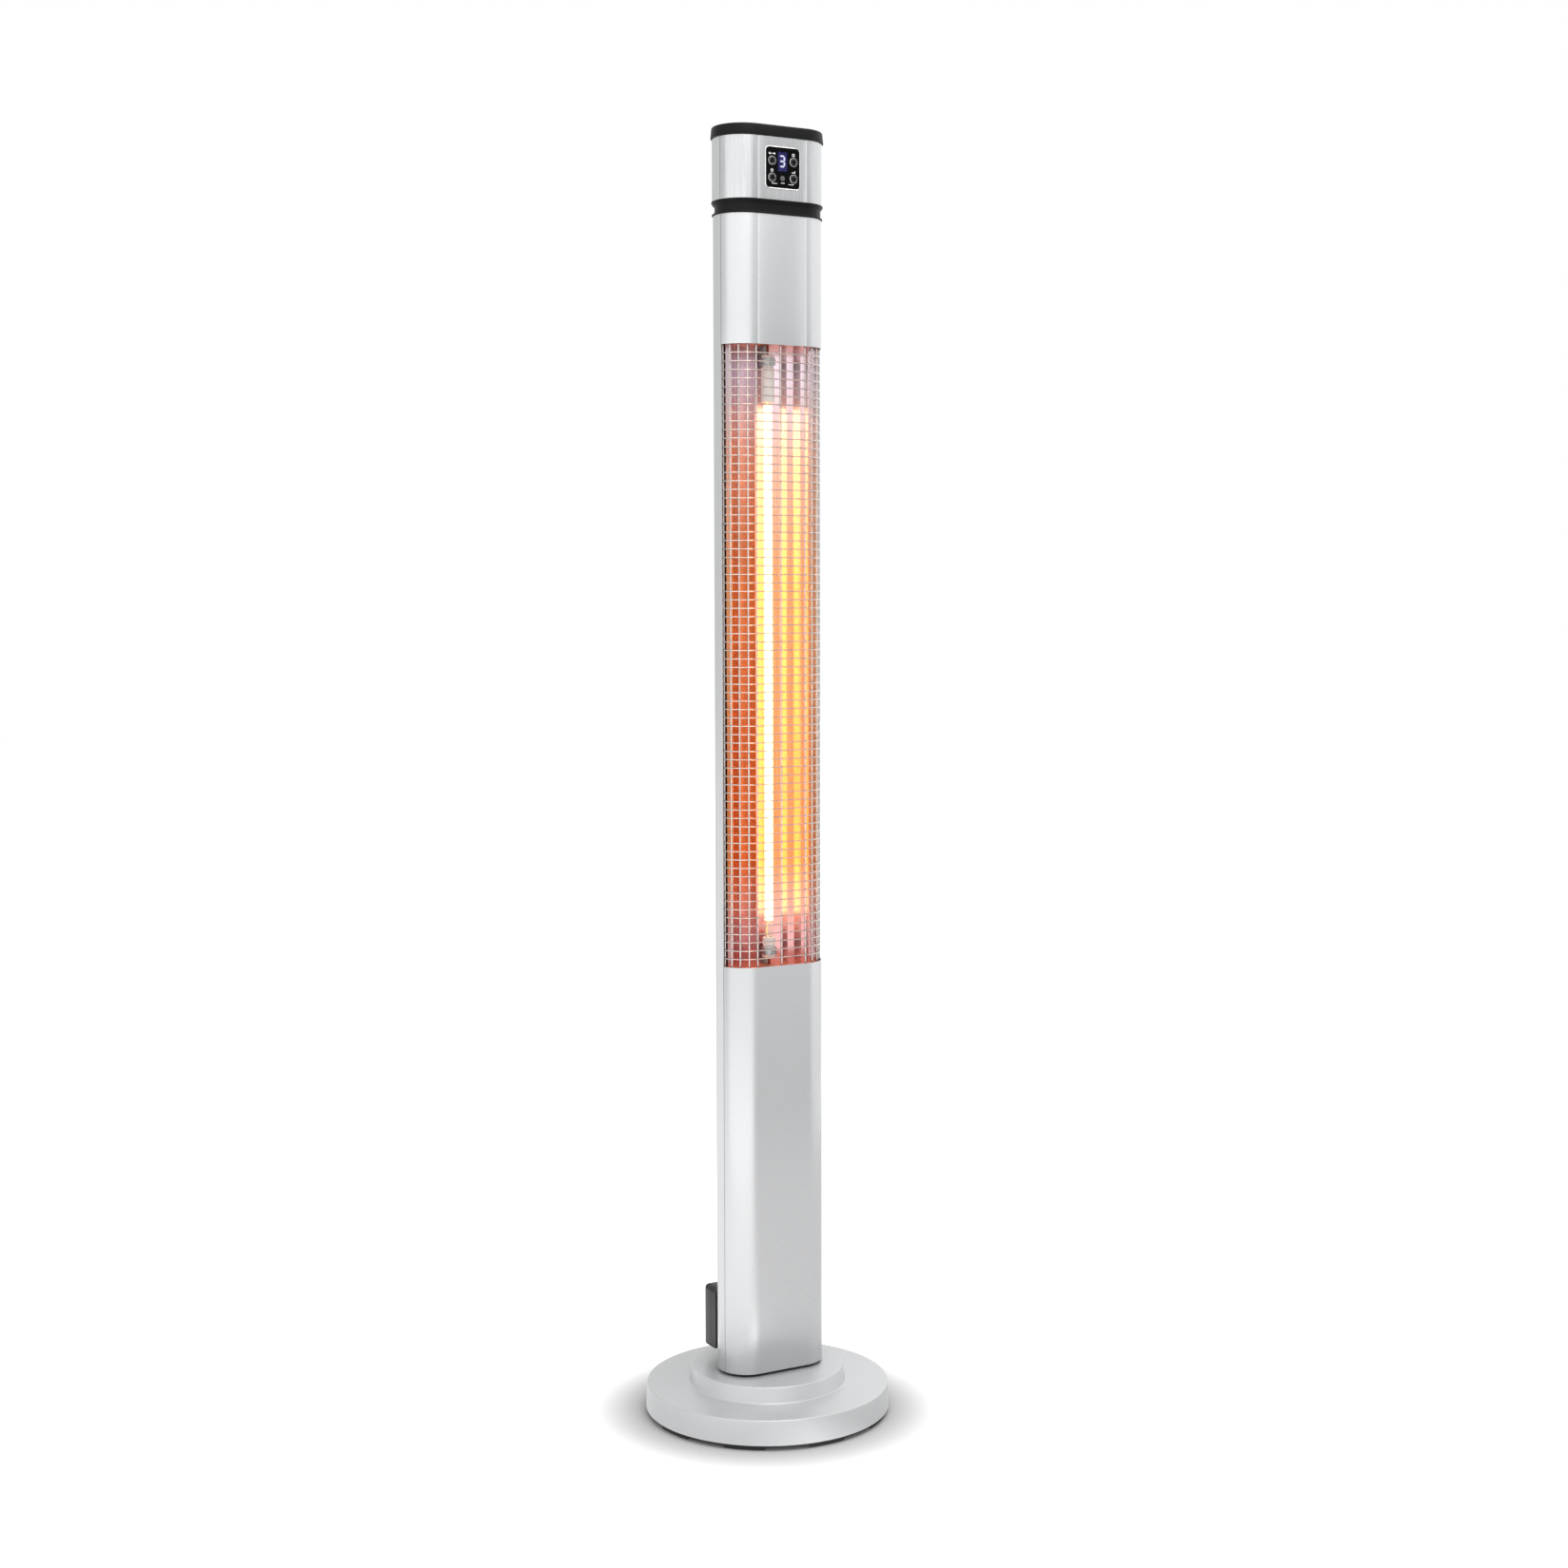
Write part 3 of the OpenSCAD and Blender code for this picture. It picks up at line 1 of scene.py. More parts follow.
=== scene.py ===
"""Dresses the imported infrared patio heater: surfaces, finishes, light and camera round the CAD frame."""

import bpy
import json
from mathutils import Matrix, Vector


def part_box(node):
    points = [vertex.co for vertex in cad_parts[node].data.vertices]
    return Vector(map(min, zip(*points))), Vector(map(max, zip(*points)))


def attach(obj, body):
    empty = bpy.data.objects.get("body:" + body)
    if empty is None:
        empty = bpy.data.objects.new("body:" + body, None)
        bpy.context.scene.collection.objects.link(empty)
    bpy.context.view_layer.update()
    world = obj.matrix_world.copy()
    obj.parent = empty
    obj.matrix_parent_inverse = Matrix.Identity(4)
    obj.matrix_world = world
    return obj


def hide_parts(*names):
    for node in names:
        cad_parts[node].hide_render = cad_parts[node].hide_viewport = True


bl_info = {
    "name": "Infrared Patio Heater",
    "version": (1, 0, 0),
    "blender": (4, 5, 0),
    "location": "3D View > Sidebar > Heater",
    "description": "Builds the visible surfaces and finishes of an infrared tower heater",
    "category": "Object",
}

import json
import math

import bmesh
import bpy
import numpy as np
from bpy.props import FloatProperty, FloatVectorProperty, IntProperty, PointerProperty
from mathutils import Matrix

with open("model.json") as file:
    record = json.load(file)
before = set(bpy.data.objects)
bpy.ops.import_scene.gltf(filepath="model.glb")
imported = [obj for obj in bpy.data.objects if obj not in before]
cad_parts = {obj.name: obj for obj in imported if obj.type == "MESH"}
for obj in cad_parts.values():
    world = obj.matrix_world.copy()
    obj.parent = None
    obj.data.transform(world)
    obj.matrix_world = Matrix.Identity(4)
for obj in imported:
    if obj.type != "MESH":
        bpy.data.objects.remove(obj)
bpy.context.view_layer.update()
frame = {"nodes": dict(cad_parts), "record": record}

MM = 0.001
TAU = 2 * math.pi
WELD = 1e-6
BODY = {node: body for body, nodes in frame["record"]["behaviour"]["bodies"].items() for node in nodes}


def corners(node):
    """Lowest and highest corner of a CAD node."""
    return np.array(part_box(node))


def low(node):
    return corners(node)[0]


def high(node):
    return corners(node)[1]


# The column's section: a flat middle with a half circle at each end
FRONT_Y = low("lower_front_panel")[1]
BACK_Y = high("rear_shell")[1]
END_R = (BACK_Y - FRONT_Y) / 2
MID_Y = (BACK_Y + FRONT_Y) / 2
END_X = 33.3 * MM
SHEET = 1.2 * MM
HEAD_GROW = 1.0 * MM
SEAM = 8.85 * MM
SEAM_GAP = 0.6 * MM
LIP_IN = 1.35 * MM

COLUMN_Z = low("rear_shell")[2]
GUARD_Z0 = high("lower_front_panel")[2]
GUARD_Z1 = low("upper_front_panel")[2]
NECK_Z = high("upper_front_panel")[2]
HEAD_Z = low("head_rear_shell")[2]
CAP_Z = high("head_rear_shell")[2]
TOP_Z = high("top_cap")[2]
FLOOR_Z = high("chamber_floor")[2]
CEILING_Z = low("chamber_ceiling")[2]
PANEL_Z = (low("fascia_bezel")[2] + high("fascia_bezel")[2]) / 2
FASCIA_Y = low("control_fascia")[1]


def linear(code):
    """sRGB hex to linear: each channel is divided by 12.92 where dark, else raised to the power 2.4."""
    channels = [int(code[i : i + 2], 16) / 255 for i in (1, 3, 5)]
    return tuple(c / 12.92 if c <= 0.04045 else ((c + 0.055) / 1.055) ** 2.4 for c in channels)


def length(name, description, millimetres):
    return FloatProperty(name=name, description=description, default=millimetres * MM, unit="LENGTH")


def paint(name, description, colour):
    return FloatVectorProperty(
        name=name, description=description, subtype="COLOR", size=3, min=0, max=1, default=colour
    )


class HeaterSizes(bpy.types.PropertyGroup):
    """Sizes of the pieces that have no fixed shape in the frame."""

    wire_pitch: length("Wire pitch", "Distance between the guard's horizontal wires", 10.07)
    wire_count: IntProperty(name="Wires", description="Horizontal wires of the guard", default=73)
    wire_radius: length("Wire radius", "Radius of the horizontal wires", 0.75)
    upright_radius: length("Upright radius", "Radius of the upright wires", 1.05)
    coil_radius: length("Coil radius", "Radius of the filament's coil", 2.7)
    coil_pitch: length("Coil pitch", "Rise of one turn of the filament", 2.6)
    coil_wire: length("Filament wire", "Radius of the filament's wire", 0.85)
    digit_height: length("Digit height", "Height of the display's digit", 14.2)
    ring_width: length("Button ring", "Width of the pale ring on a button", 1.6)
    glow: FloatProperty(name="Glow", description="Strength of the filament's light", default=6.0)


class HeaterColours(bpy.types.PropertyGroup):
    """Colours that a user may want to change."""

    silver: paint("Silver paint", "Metallic paint of the column and base", linear("#bfc0c1"))
    plastic: paint("Black plastic", "Moulded neck, cap and rear box", linear("#0d0d0e"))
    glow: paint("Glow", "Colour of the filament's light", (1.0, 0.58, 0.32))
    digit: paint("Digit", "Light of the display's digit", linear("#eef0ff"))


def sizes():
    return bpy.context.scene.heater_sizes


def colours():
    return bpy.context.scene.heater_colours


# Surfaces


def grid(points, closed=False, caps=False):
    """Quads between neighbours on a grid of points, each row a ring. A closed grid also joins its last row
    to its first, and a cap is a fan from the first or last row to that row's mean point."""
    rows, columns = points.shape[:2]
    index = np.arange(rows * columns).reshape(rows, columns)
    if closed:
        index = np.vstack([index, index[:1]])
    index = np.hstack([index, index[:, :1]])
    quads = np.stack([index[:-1, :-1], index[1:, :-1], index[1:, 1:], index[:-1, 1:]], -1).reshape(-1, 4)
    vertices = points.reshape(-1, 3)
    fans = np.zeros((0, 3), int)
    if caps:
        hub = rows * columns
        first, last = index[0], index[-1]
        fans = np.vstack([np.stack([first[1:], first[:-1], np.full(columns, hub)], -1),
                          np.stack([last[:-1], last[1:], np.full(columns, hub + 1)], -1)])
        vertices = np.vstack([vertices, points[0].mean(0), points[-1].mean(0)])
    return vertices, quads, fans


def raised(plan, heights):
    """Rows of points in X and Y, each row at its own height."""
    heights = np.broadcast_to(np.reshape(heights, (-1, 1, 1)), plan.shape[:2] + (1,))
    return np.concatenate([plan, heights], -1)


def sheet(points):
    """A sheet that stands up: each row of points runs along one side of it and back along the other, and
    quads across its thickness close the lowest and the highest row."""
    vertices, quads, fans = grid(points)
    rows, ring = points.shape[:2]
    near = np.arange(ring // 2 - 1)
    foot = np.stack([near, near + 1, ring - 2 - near, ring - 1 - near], -1)
    return vertices, np.vstack([quads, foot, foot[:, ::-1] + (rows - 1) * ring]), fans


def copies(surface, shifts):
    """The same surface at each shift: its points plus the shift, and its faces counted on."""
    vertices, quads, fans = surface
    shifts = np.reshape(shifts, (-1, 1, 3))
    step = (np.arange(len(shifts)) * len(vertices)).reshape(-1, 1, 1)
    return ((vertices + shifts).reshape(-1, 3), (quads + step).reshape(-1, 4), (fans + step).reshape(-1, 3))


def placed(name, data):
    """A new object in the scene."""
    made = bpy.data.objects.new(name, data)
    bpy.context.scene.collection.objects.link(made)
    return made


def piece(name, surfaces, look, node=None, body=None):
    """One mesh of all the surfaces, with doubles merged, faces outwards and soft shading up to an angle.
    It stands for a CAD node, which it hides, and goes on that node's body. An extra piece stands for none and
    names its own body."""
    vertices, faces, start = [], [], 0
    for points, quads, fans in surfaces:
        vertices.append(points)
        faces += (quads + start).tolist() + (fans + start).tolist()
        start += len(points)
    mesh = bpy.data.meshes.new(name)
    mesh.from_pydata(np.vstack(vertices).tolist(), [], faces)
    work = bmesh.new()
    work.from_mesh(mesh)
    bmesh.ops.remove_doubles(work, verts=work.verts, dist=WELD)
    bmesh.ops.recalc_face_normals(work, faces=work.faces)
    work.to_mesh(mesh)
    work.free()
    mesh.polygons.foreach_set("use_smooth", np.ones(len(mesh.polygons), bool))
    mesh.set_sharp_from_angle(angle=math.radians(32))
    mesh.materials.append(FINISHES[look])
    made = placed(name, mesh)
    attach(made, body or BODY[node])
    if node:
        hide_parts(node)


def rounded(points, radii, steps):
    """An outline with its corners rounded: each corner becomes an arc that touches both its sides. The
    radii are in millimetres."""
    out = []
    points = np.asarray(points, float)
    for i, radius in enumerate(np.array(radii) * MM):
        a, b, c = points[i - 1], points[i], points[(i + 1) % len(points)]
        if radius == 0:
            out.append(b[None])
            continue
        u, v = (a - b) / np.linalg.norm(a - b), (c - b) / np.linalg.norm(c - b)
        half = np.arccos(np.clip(u @ v, -1, 1)) / 2
        middle = b + (u + v) / np.linalg.norm(u + v) * radius / np.sin(half)
        p, q = b + u * radius / np.tan(half) - middle, b + v * radius / np.tan(half) - middle
        start = np.arctan2(p[1], p[0])
        angle = np.arctan2(p[0] * q[1] - p[1] * q[0], p @ q)
        turn = start + angle * np.linspace(0, 1, steps + 1)
        out.append(middle + radius * np.stack([np.cos(turn), np.sin(turn)], -1))
    return np.vstack(out)


def section_path(spans, count=40):
    """Points and outward normals along the column's section: the arcs of the two round ends, each from
    one angle to another about its own centre, with the straight flats left between them."""
    angles = np.radians(np.concatenate([np.linspace(a, b, count) for _, a, b in spans]))
    side = np.concatenate([np.full(count, s, float) for s, _, _ in spans])
    normals = np.stack([np.cos(angles), np.sin(angles)], -1)
    centres = np.stack([side * END_X, np.full(len(side), MID_Y)], -1)
    return centres, normals


def section_turned(profile, closed=True):
    """A profile carried round the whole section: each point of it stands out from the column's face by
    its first value, at the height of its second, and is moved back by its third."""
    centres, normals = section_path(((1, -90, 90), (-1, 90, 270)))
    plan = centres + (END_R + profile[:, :1, None]) * normals
    plan[..., 1] += profile[:, 2:]
    return grid(raised(plan, profile[:, 1]), closed=closed)


# Angles at the round end where the rear shell and the front panels start, on either side of the seam
REAR_START, FRONT_START = (math.degrees(math.asin((side * SEAM_GAP / 2 - SEAM) / END_R)) for side in (1, -1))
REAR = ((1, REAR_START, 90), (-1, 90, 180 - REAR_START))
FRONT = ((-1, 180 - FRONT_START, 270), (1, -90, FRONT_START))


def band(spans, z0, z1, outer, roll=0.3 * MM, dips=(), count=40, span_x=None):
    """A bent sheet: its section is a strip between two offsets of the column's outline, carried from z0
    to z1. Near each end it is drawn in by roll times one minus the sine of a quarter turn, so that the
    edge is round. A dip is a pressed line across the flat front at a place in X."""
    centres, normals = section_path(spans, count)
    offset = np.full(len(centres), outer, float)
    if dips:
        press = ((-1, 0), (-0.5, -0.5), (0, -1), (0.5, -0.5), (1, 0))
        places = np.array([[x + w * wide, d * deep] for x, wide, deep in sorted(dips) for w, d in press])
        extra = np.stack([places[:, 0], np.full(len(places), MID_Y)], -1)
        centres = np.vstack([centres[:count], extra, centres[count:]])
        normals = np.vstack([normals[:count], np.tile([0.0, -1.0], (len(places), 1)), normals[count:]])
        offset = np.concatenate([offset[:count], outer + places[:, 1], offset[count:]])
    if span_x:
        keep = (centres[:, 0] >= span_x[0] - 1e-9) & (centres[:, 0] <= span_x[1] + 1e-9)
        centres, normals, offset = centres[keep], normals[keep], offset[keep]
    turn = np.linspace(0, math.pi / 2, 4)
    rise, drawn = roll * (1 - np.cos(turn)), roll * (1 - np.sin(turn))
    drawn = np.concatenate([drawn, drawn[::-1]])[:, None, None]
    reach = (END_R + offset)[:, None]
    outside = centres + (reach - drawn) * normals
    inside = centres + (reach - SHEET + drawn) * normals
    plan = np.concatenate([outside, inside[:, ::-1]], 1)
    return sheet(raised(plan, np.concatenate([z0 + rise, z1 - rise[::-1]])))


# A turned shape laid along an axis: the order of its coordinates and their signs
LAID = {"Z": ([0, 1, 2], 1), "-Z": ([0, 1, 2], [1, 1, -1]),
        "Y": ([0, 2, 1], 1), "-Y": ([0, 2, 1], [1, -1, 1])}


def circle(count):
    """Points of a circle of radius 1 about zero."""
    angle = np.linspace(0, TAU, count, endpoint=False)
    return np.stack([np.cos(angle), np.sin(angle)], -1)


def lathe(profile, segments, centre=(0, 0, 0), axis="Z", scale=1):
    """A profile of radius and height turned about an axis. The scale of the radius may change round it."""
    profile = np.asarray(profile, float)
    plan = (profile[:, :1] * scale)[..., None] * circle(segments)
    order, sign = LAID[axis]
    return grid(raised(plan, profile[:, 1])[..., order] * sign + centre, closed=True)


def sweep(path, radius, sides, up=(0, 0, 1)):
    """A round bar along a path: circles across the path's direction, and at both ends smaller circles
    whose radius falls with the cosine and whose place moves out with the sine, so the ends are domes."""
    path = np.asarray(path, float)
    tangent = np.gradient(path, axis=0)
    tangent /= np.linalg.norm(tangent, axis=1, keepdims=True)
    tip = 4
    turn = np.linspace(math.pi / 2, 0, tip, endpoint=False)[:, None]
    start = path[0] - tangent[0] * radius * np.sin(turn)
    end = path[-1] + tangent[-1] * radius * np.sin(turn[::-1])
    centres = np.vstack([start, path, end])
    along = np.vstack([np.repeat(tangent[:1], tip, 0), tangent, np.repeat(tangent[-1:], tip, 0)])
    radii = radius * np.vstack([np.cos(turn), np.ones((len(path), 1)), np.cos(turn[::-1])])
    across = np.cross(up, along)
    across /= np.linalg.norm(across, axis=1, keepdims=True)
    over = np.cross(along, across)
    points = centres[:, None] + radii[:, None] * (circle(sides) @ np.stack([across, over], 1))
    return grid(points, caps=True)


def plate(outline, y0, y1):
    """A flat piece that faces the front, with its outline in X and Z, from y0 in front to y1 behind."""
    return grid(raised(np.stack([outline, outline]), (y0, y1))[..., [0, 2, 1]], caps=True)


def stroke(points, width, y0, y1):
    """A printed line of even width along points in X and Z, one flat strip for each stretch."""
    out = []
    points = np.asarray(points)
    for a, b in zip(points[:-1], points[1:]):
        along = (b - a) / np.linalg.norm(b - a) * width / 2
        side = np.array([-along[1], along[0]])
        out.append(plate([a - along - side, b + along - side, b + along + side, a - along + side], y0, y1))
    return out


# Finishes


def add(tree, kind, sockets=None, **settings):
    """One node with its settings. A socket takes a value, or a link as a pair of node and output."""
    made = tree.nodes.new(kind)
    for key, value in settings.items():
        setattr(made, key, value)
    for key, value in (sockets or {}).items():
        if isinstance(value, tuple) and isinstance(value[0], bpy.types.Node):
            tree.links.new(value[0].outputs[value[1]], made.inputs[key])
        else:
            made.inputs[key].default_value = value
    return made


def empty_tree(owner):
    """The node tree of a material or world, with no node in it."""
    owner.use_nodes = True
    owner.node_tree.nodes.clear()
    return owner.node_tree


def rgba(colour):
    """Four linear channels, from a hex code or from three linear ones."""
    return (*(linear(colour) if isinstance(colour, str) else colour), 1)


def tone(colour, factor):
    return tuple(min(1.0, c * factor) for c in colour)


def set_stops(ramp, stops):
    """Gives a colour ramp its stops, each a place from 0 to 1 and a colour."""
    elements = ramp.color_ramp.elements
    for place, _ in stops[1:-1]:
        elements.new(place)
    for stop, (place, colour) in zip(elements, stops):
        stop.position, stop.color = place, rgba(colour)


def finish(name, dark, light, grain, rough, bump=0, glow=None, **sockets):
    """A surface whose colour wanders between two tones with a grain of that size in millimetres, one for
    all directions or one each, whose roughness drifts over a larger distance, and whose grain stands up
    by bump mm. Its glow is a colour and a strength."""
    material = bpy.data.materials.new(name)
    tree = empty_tree(material)
    place = add(tree, "ShaderNodeTexCoord")
    scale = [1 / (g * MM) for g in np.broadcast_to(grain, 3)]
    scaled = add(tree, "ShaderNodeMapping", {"Vector": (place, "Object"), "Scale": scale})
    fine = add(tree, "ShaderNodeTexNoise",
               {"Vector": (scaled, "Vector"), "Scale": 1.0, "Detail": 3.0, "Roughness": 0.6})
    cloud = 90 * MM
    broad = add(tree, "ShaderNodeTexNoise", {"Vector": (place, "Object"), "Scale": 1 / cloud, "Detail": 2.0})
    tones = add(tree, "ShaderNodeValToRGB", {"Fac": (fine, "Fac")})
    set_stops(tones, ((0.25, dark), (0.75, light)))
    drift = add(tree, "ShaderNodeMapRange", {"Value": (broad, "Fac"), "From Min": 0.3, "From Max": 0.7,
                                             "To Min": rough[0], "To Max": rough[1]})
    inputs = {key.replace("_", " ").title().replace("Ior", "IOR"): value for key, value in sockets.items()}
    inputs |= {"Base Color": (tones, "Color"), "Roughness": (drift, "Result")}
    if glow:
        inputs |= {"Emission Color": rgba(glow[0]), "Emission Strength": glow[1]}
    if bump:
        relief = add(tree, "ShaderNodeBump",
                     {"Height": (fine, "Fac"), "Strength": 1.0, "Distance": bump * MM})
        inputs["Normal"] = (relief, "Normal")
    shader = add(tree, "ShaderNodeBsdfPrincipled", inputs)
    add(tree, "ShaderNodeOutputMaterial", {"Surface": (shader, "BSDF")})
    return material


def heat_and_glow_tinted(material):
    """Multiplies a metal's colour by a tint that follows the height: pink at the cooler lower end, copper
    along the hot coil and white at the upper end. The tint is partly heat tint and partly the orange glow of
    the coil painted into the colour."""
    tree = material.node_tree
    shader = next(n for n in tree.nodes if n.type == "BSDF_PRINCIPLED")
    plain = shader.inputs["Base Color"].links[0].from_node
    z0, z1 = corners("filament")[:, 2]
    # The orange and copper stops round the coil are painted glow of the coil as well as heat tint
    tints = ((z0 - 30 * MM, "#ffc9c4"), (z0 + 70 * MM, "#ffa866"), (z1 - 200 * MM, "#ffba7e"),
             (z1 - 60 * MM, "#ffd0b4"), (z1 + 30 * MM, "#fff4f8"))
    place = add(tree, "ShaderNodeTexCoord")
    parts = add(tree, "ShaderNodeSeparateXYZ", {"Vector": (place, "Object")})
    share = add(tree, "ShaderNodeMapRange",
                {"Value": (parts, "Z"), "From Min": FLOOR_Z, "From Max": CEILING_Z})
    tint = add(tree, "ShaderNodeValToRGB", {"Fac": (share, "Result")})
    set_stops(tint, [((z - FLOOR_Z) / (CEILING_Z - FLOOR_Z), code) for z, code in tints])
    both = add(tree, "ShaderNodeMix", {0: 1.0, 6: (plain, 0), 7: (tint, 0)},
               data_type="RGBA", blend_type="MULTIPLY", clamp_factor=True)
    tree.links.new(both.outputs[2], shader.inputs["Base Color"])
    return material


def make_finishes():
    """Every finish of the heater, by a short name."""
    chosen = colours()
    silver, plastic, glow, digit = map(tuple, (chosen.silver, chosen.plastic, chosen.glow, chosen.digit))
    return {
        # Metallic paint, sprayed and baked: fine flakes under a thin clear film, soft broad reflections
        "silver": finish("silver metallic paint", tone(silver, 1.02), tone(silver, 1.1), 1.3, (0.25, 0.3),
                         0.002, metallic=0.78, specular_tint=(0.85, 0.85, 0.85, 1), coat_weight=0.1,
                         coat_roughness=0.2),
        # The same paint on the rough pressed base: broader, duller reflections
        "base_silver": finish("silver paint on pressing", tone(silver, 1.03), tone(silver, 1.12), 1.3,
                              (0.38, 0.44), 0.006, metallic=0.42, coat_weight=0.08, coat_roughness=0.3),
        # Brushed aluminium sheet: fine upright scratches that stretch the reflections sideways
        "brushed": finish("brushed aluminium", "#acadae", "#c8c9ca", (0.5, 0.5, 60), (0.22, 0.28), 0.012,
                          metallic=0.9),
        # Steel sheet with satin black paint: even, nearly matt
        "black_steel": finish("satin black painted steel", "#0b0b0c", "#141415", 2, (0.45, 0.55), 0.02),
        # Grey cast iron, as cast: coarse sand texture
        "cast_iron": finish("sand cast iron", "#2c2c2d", "#454546", 2.5, (0.7, 0.85), 0.25, metallic=0.6),
        # Moulded nitrile rubber: dull black with a dusty bloom
        "rubber": finish("moulded rubber", "#0d0d0e", "#1b1b1c", 1.6, (0.75, 0.9), 0.05),
        # Zinc plated steel: cool grey with faint crystals
        "zinc": finish("zinc plated steel", "#8b8d8e", "#b4b6b5", 3, (0.28, 0.42), 0.01, metallic=0.95),
        # Hot dip galvanised sheet, warmed by use: broad spangles with a straw tint, partly heat tint and
        # partly the orange glow of the coil painted in
        "galvanised": finish("galvanised sheet", "#cc8468", "#e8a488", 7, (0.35, 0.5), 0.02, metallic=0.9),
        # Pressure die cast zinc aluminium: pale grey, slightly cloudy
        "die_cast": finish("die cast alloy", "#8c8d8f", "#a3a4a6", 4, (0.45, 0.55), 0.04, metallic=0.9),
        # Natural nylon, moulded: waxy cream
        "nylon": finish("natural nylon", "#d8d2be", "#e6e1d0", 5, (0.4, 0.5), 0.02, subsurface_weight=0.1,
                        subsurface_scale=0.002),
        # ABS with a fine spark-eroded grain: charcoal black with a soft sheen
        "plastic": finish("grained black plastic", tone(plastic, 0.8), tone(plastic, 1.2), 0.9, (0.4, 0.48),
                          0.03, specular_ior_level=0.14),
        # The same grain on the rear box, in a lighter tone: charcoal
        "box_plastic": finish("grained charcoal plastic", "#121213", "#1a1a1b", 0.9, (0.4, 0.5), 0.03,
                              specular_ior_level=0.3),
        # Bright rolled aluminium: a mirror with faint rolling lines, straw to copper where the tube heats it;
        # that tint is partly heat tint and partly the coil's painted orange glow
        "reflector": heat_and_glow_tinted(finish("heat and glow tinted reflector", "#ccc0c6", "#eae0e6", (1.5, 1.5, 120),
                                        (0.2, 0.28), 0.01, metallic=1.0)),
        # Clear fused quartz: thin glass that the coil shines through
        "quartz": finish("fused quartz", "#f4f0e8", "#fffdf6", 40, (0.03, 0.06), alpha=0.16),
        # The same glass round the hot coil: it scatters the coil's light, so the tube glows
        "hot_quartz": finish("glowing fused quartz", "#f4f0e8", "#fffdf6", 40, (0.03, 0.06), alpha=0.22,
                             glow=((1.0, 0.64, 0.33), 3.2)),
        # Steatite ceramic, fired unglazed: chalky white
        "ceramic": finish("steatite ceramic", "#efece5", "#faf8f3", 1.2, (0.6, 0.75), 0.03),
        # Nickel plated wire: bright, its colour a little warm with painted glow of the tube behind it
        "wire": finish("nickel plated wire", "#aaa29e", "#d0c6c0", 6, (0.16, 0.26), metallic=1.0),
        # Silicone rubber sleeve on a lead: brick red, soft
        "sleeve": finish("silicone sleeve", "#6e1f1a", "#8c2a22", 2, (0.5, 0.6), 0.03),
        # Polished and plated trim ring: mirror bright
        "bright_trim": finish("bright plated trim", "#d9dadb", "#eceded", 8, (0.08, 0.14), metallic=1.0),
        # Polycarbonate with a gloss face: piano black
        "gloss_black": finish("gloss black panel", "#040405", "#08080a", 25, (0.08, 0.12),
                              specular_ior_level=0.06),
        # Tinted acrylic over the display: deep blue, with a faint painted blue glow
        "tinted": finish("blue tinted acrylic", "#0b0a2e", "#12104a", 30, (0.06, 0.1), alpha=0.45,
                         glow=("#16145a", 0.6)),
        # The display module's face: dark blue where no segment is lit
        "display": finish("display face", "#100e3c", "#1a1760", 4, (0.4, 0.5), glow=("#1a176a", 0.5)),
        # Smoked lens of the remote's receiver: grey with a soft highlight
        "smoked": finish("smoked lens", "#4c4c4e", "#5e5e60", 6, (0.15, 0.22)),
        # Screen printing ink: flat white, with a faint painted glow
        "ink": finish("white printing ink", "#ebebec", "#f8f8f8", 1, (0.5, 0.6), glow=((1, 1, 1), 0.25)),
        # Glass fibre board with solder mask: green with a woven grain
        "board": finish("solder masked board", "#0c4423", "#14592f", 1.4, (0.3, 0.4), 0.03),
        # Phenolic moulding: dark with a dull gloss
        "phenolic": finish("phenolic moulding", "#17140f", "#231f19", 3, (0.35, 0.45), 0.02),
        # Satin moulded button cap
        "button": finish("satin black button", "#070708", "#0c0c0d", 1, (0.3, 0.36), 0.01,
                         specular_ior_level=0.1),
        # PVC sheath round the bundle of wires
        "harness": finish("black wire sheath", "#121213", "#1e1e1f", 2, (0.5, 0.6), 0.03),
        # Glowing filament: light from the hot alloy wire, yellow white to the eye
        "glow": finish("glowing filament", glow, tone(glow, 1.1), 3, (0.6, 0.7),
                       glow=(glow, sizes().glow)),
        # Lead inside the tube, hot near the coil: its yellow colour is painted glow, as well as its light
        "hot_lead": finish("hot lead wire", "#e8a040", "#ffc860", 3, (0.4, 0.5),
                           glow=((1.0, 0.55, 0.12), 1.6)),
        # Lit display segments: cool white
        "digit": finish("lit display segment", digit, digit, 3, (0.5, 0.6), glow=(digit, 2.4)),
    }


FINISHES = {}

# The CAD nodes that stay visible, by their finish
NODE_FINISH = {
    "cast_iron": "base_weight",
    "black_steel": "base_bottom_plate",
    "rubber": "rubber_feet rear_box_gasket",
    "die_cast": "pivot_housing heat_sink",
    "nylon": "pivot_bush thrust_ring swing_pinion swing_gear_sector terminal_block",
    "zinc": "swing_motor motor_bracket mechanism_screws pivot_tube spindle_screws pivot_nut tube_clips",
    "galvanised": "chamber_floor chamber_ceiling",
    "plastic": "column_foot cable_clips gland_nut",
    "box_plastic": "rear_box_base rear_box_cover",
    "phenolic": "thermal_cutout tip_over_switch tact_switches relays",
    "board": "control_board power_board",
    "sleeve": "motor_leads",
    "harness": "wiring_harness",
    "gloss_black": "control_fascia",
    "tinted": "display_window",
    "display": "display_module",
}


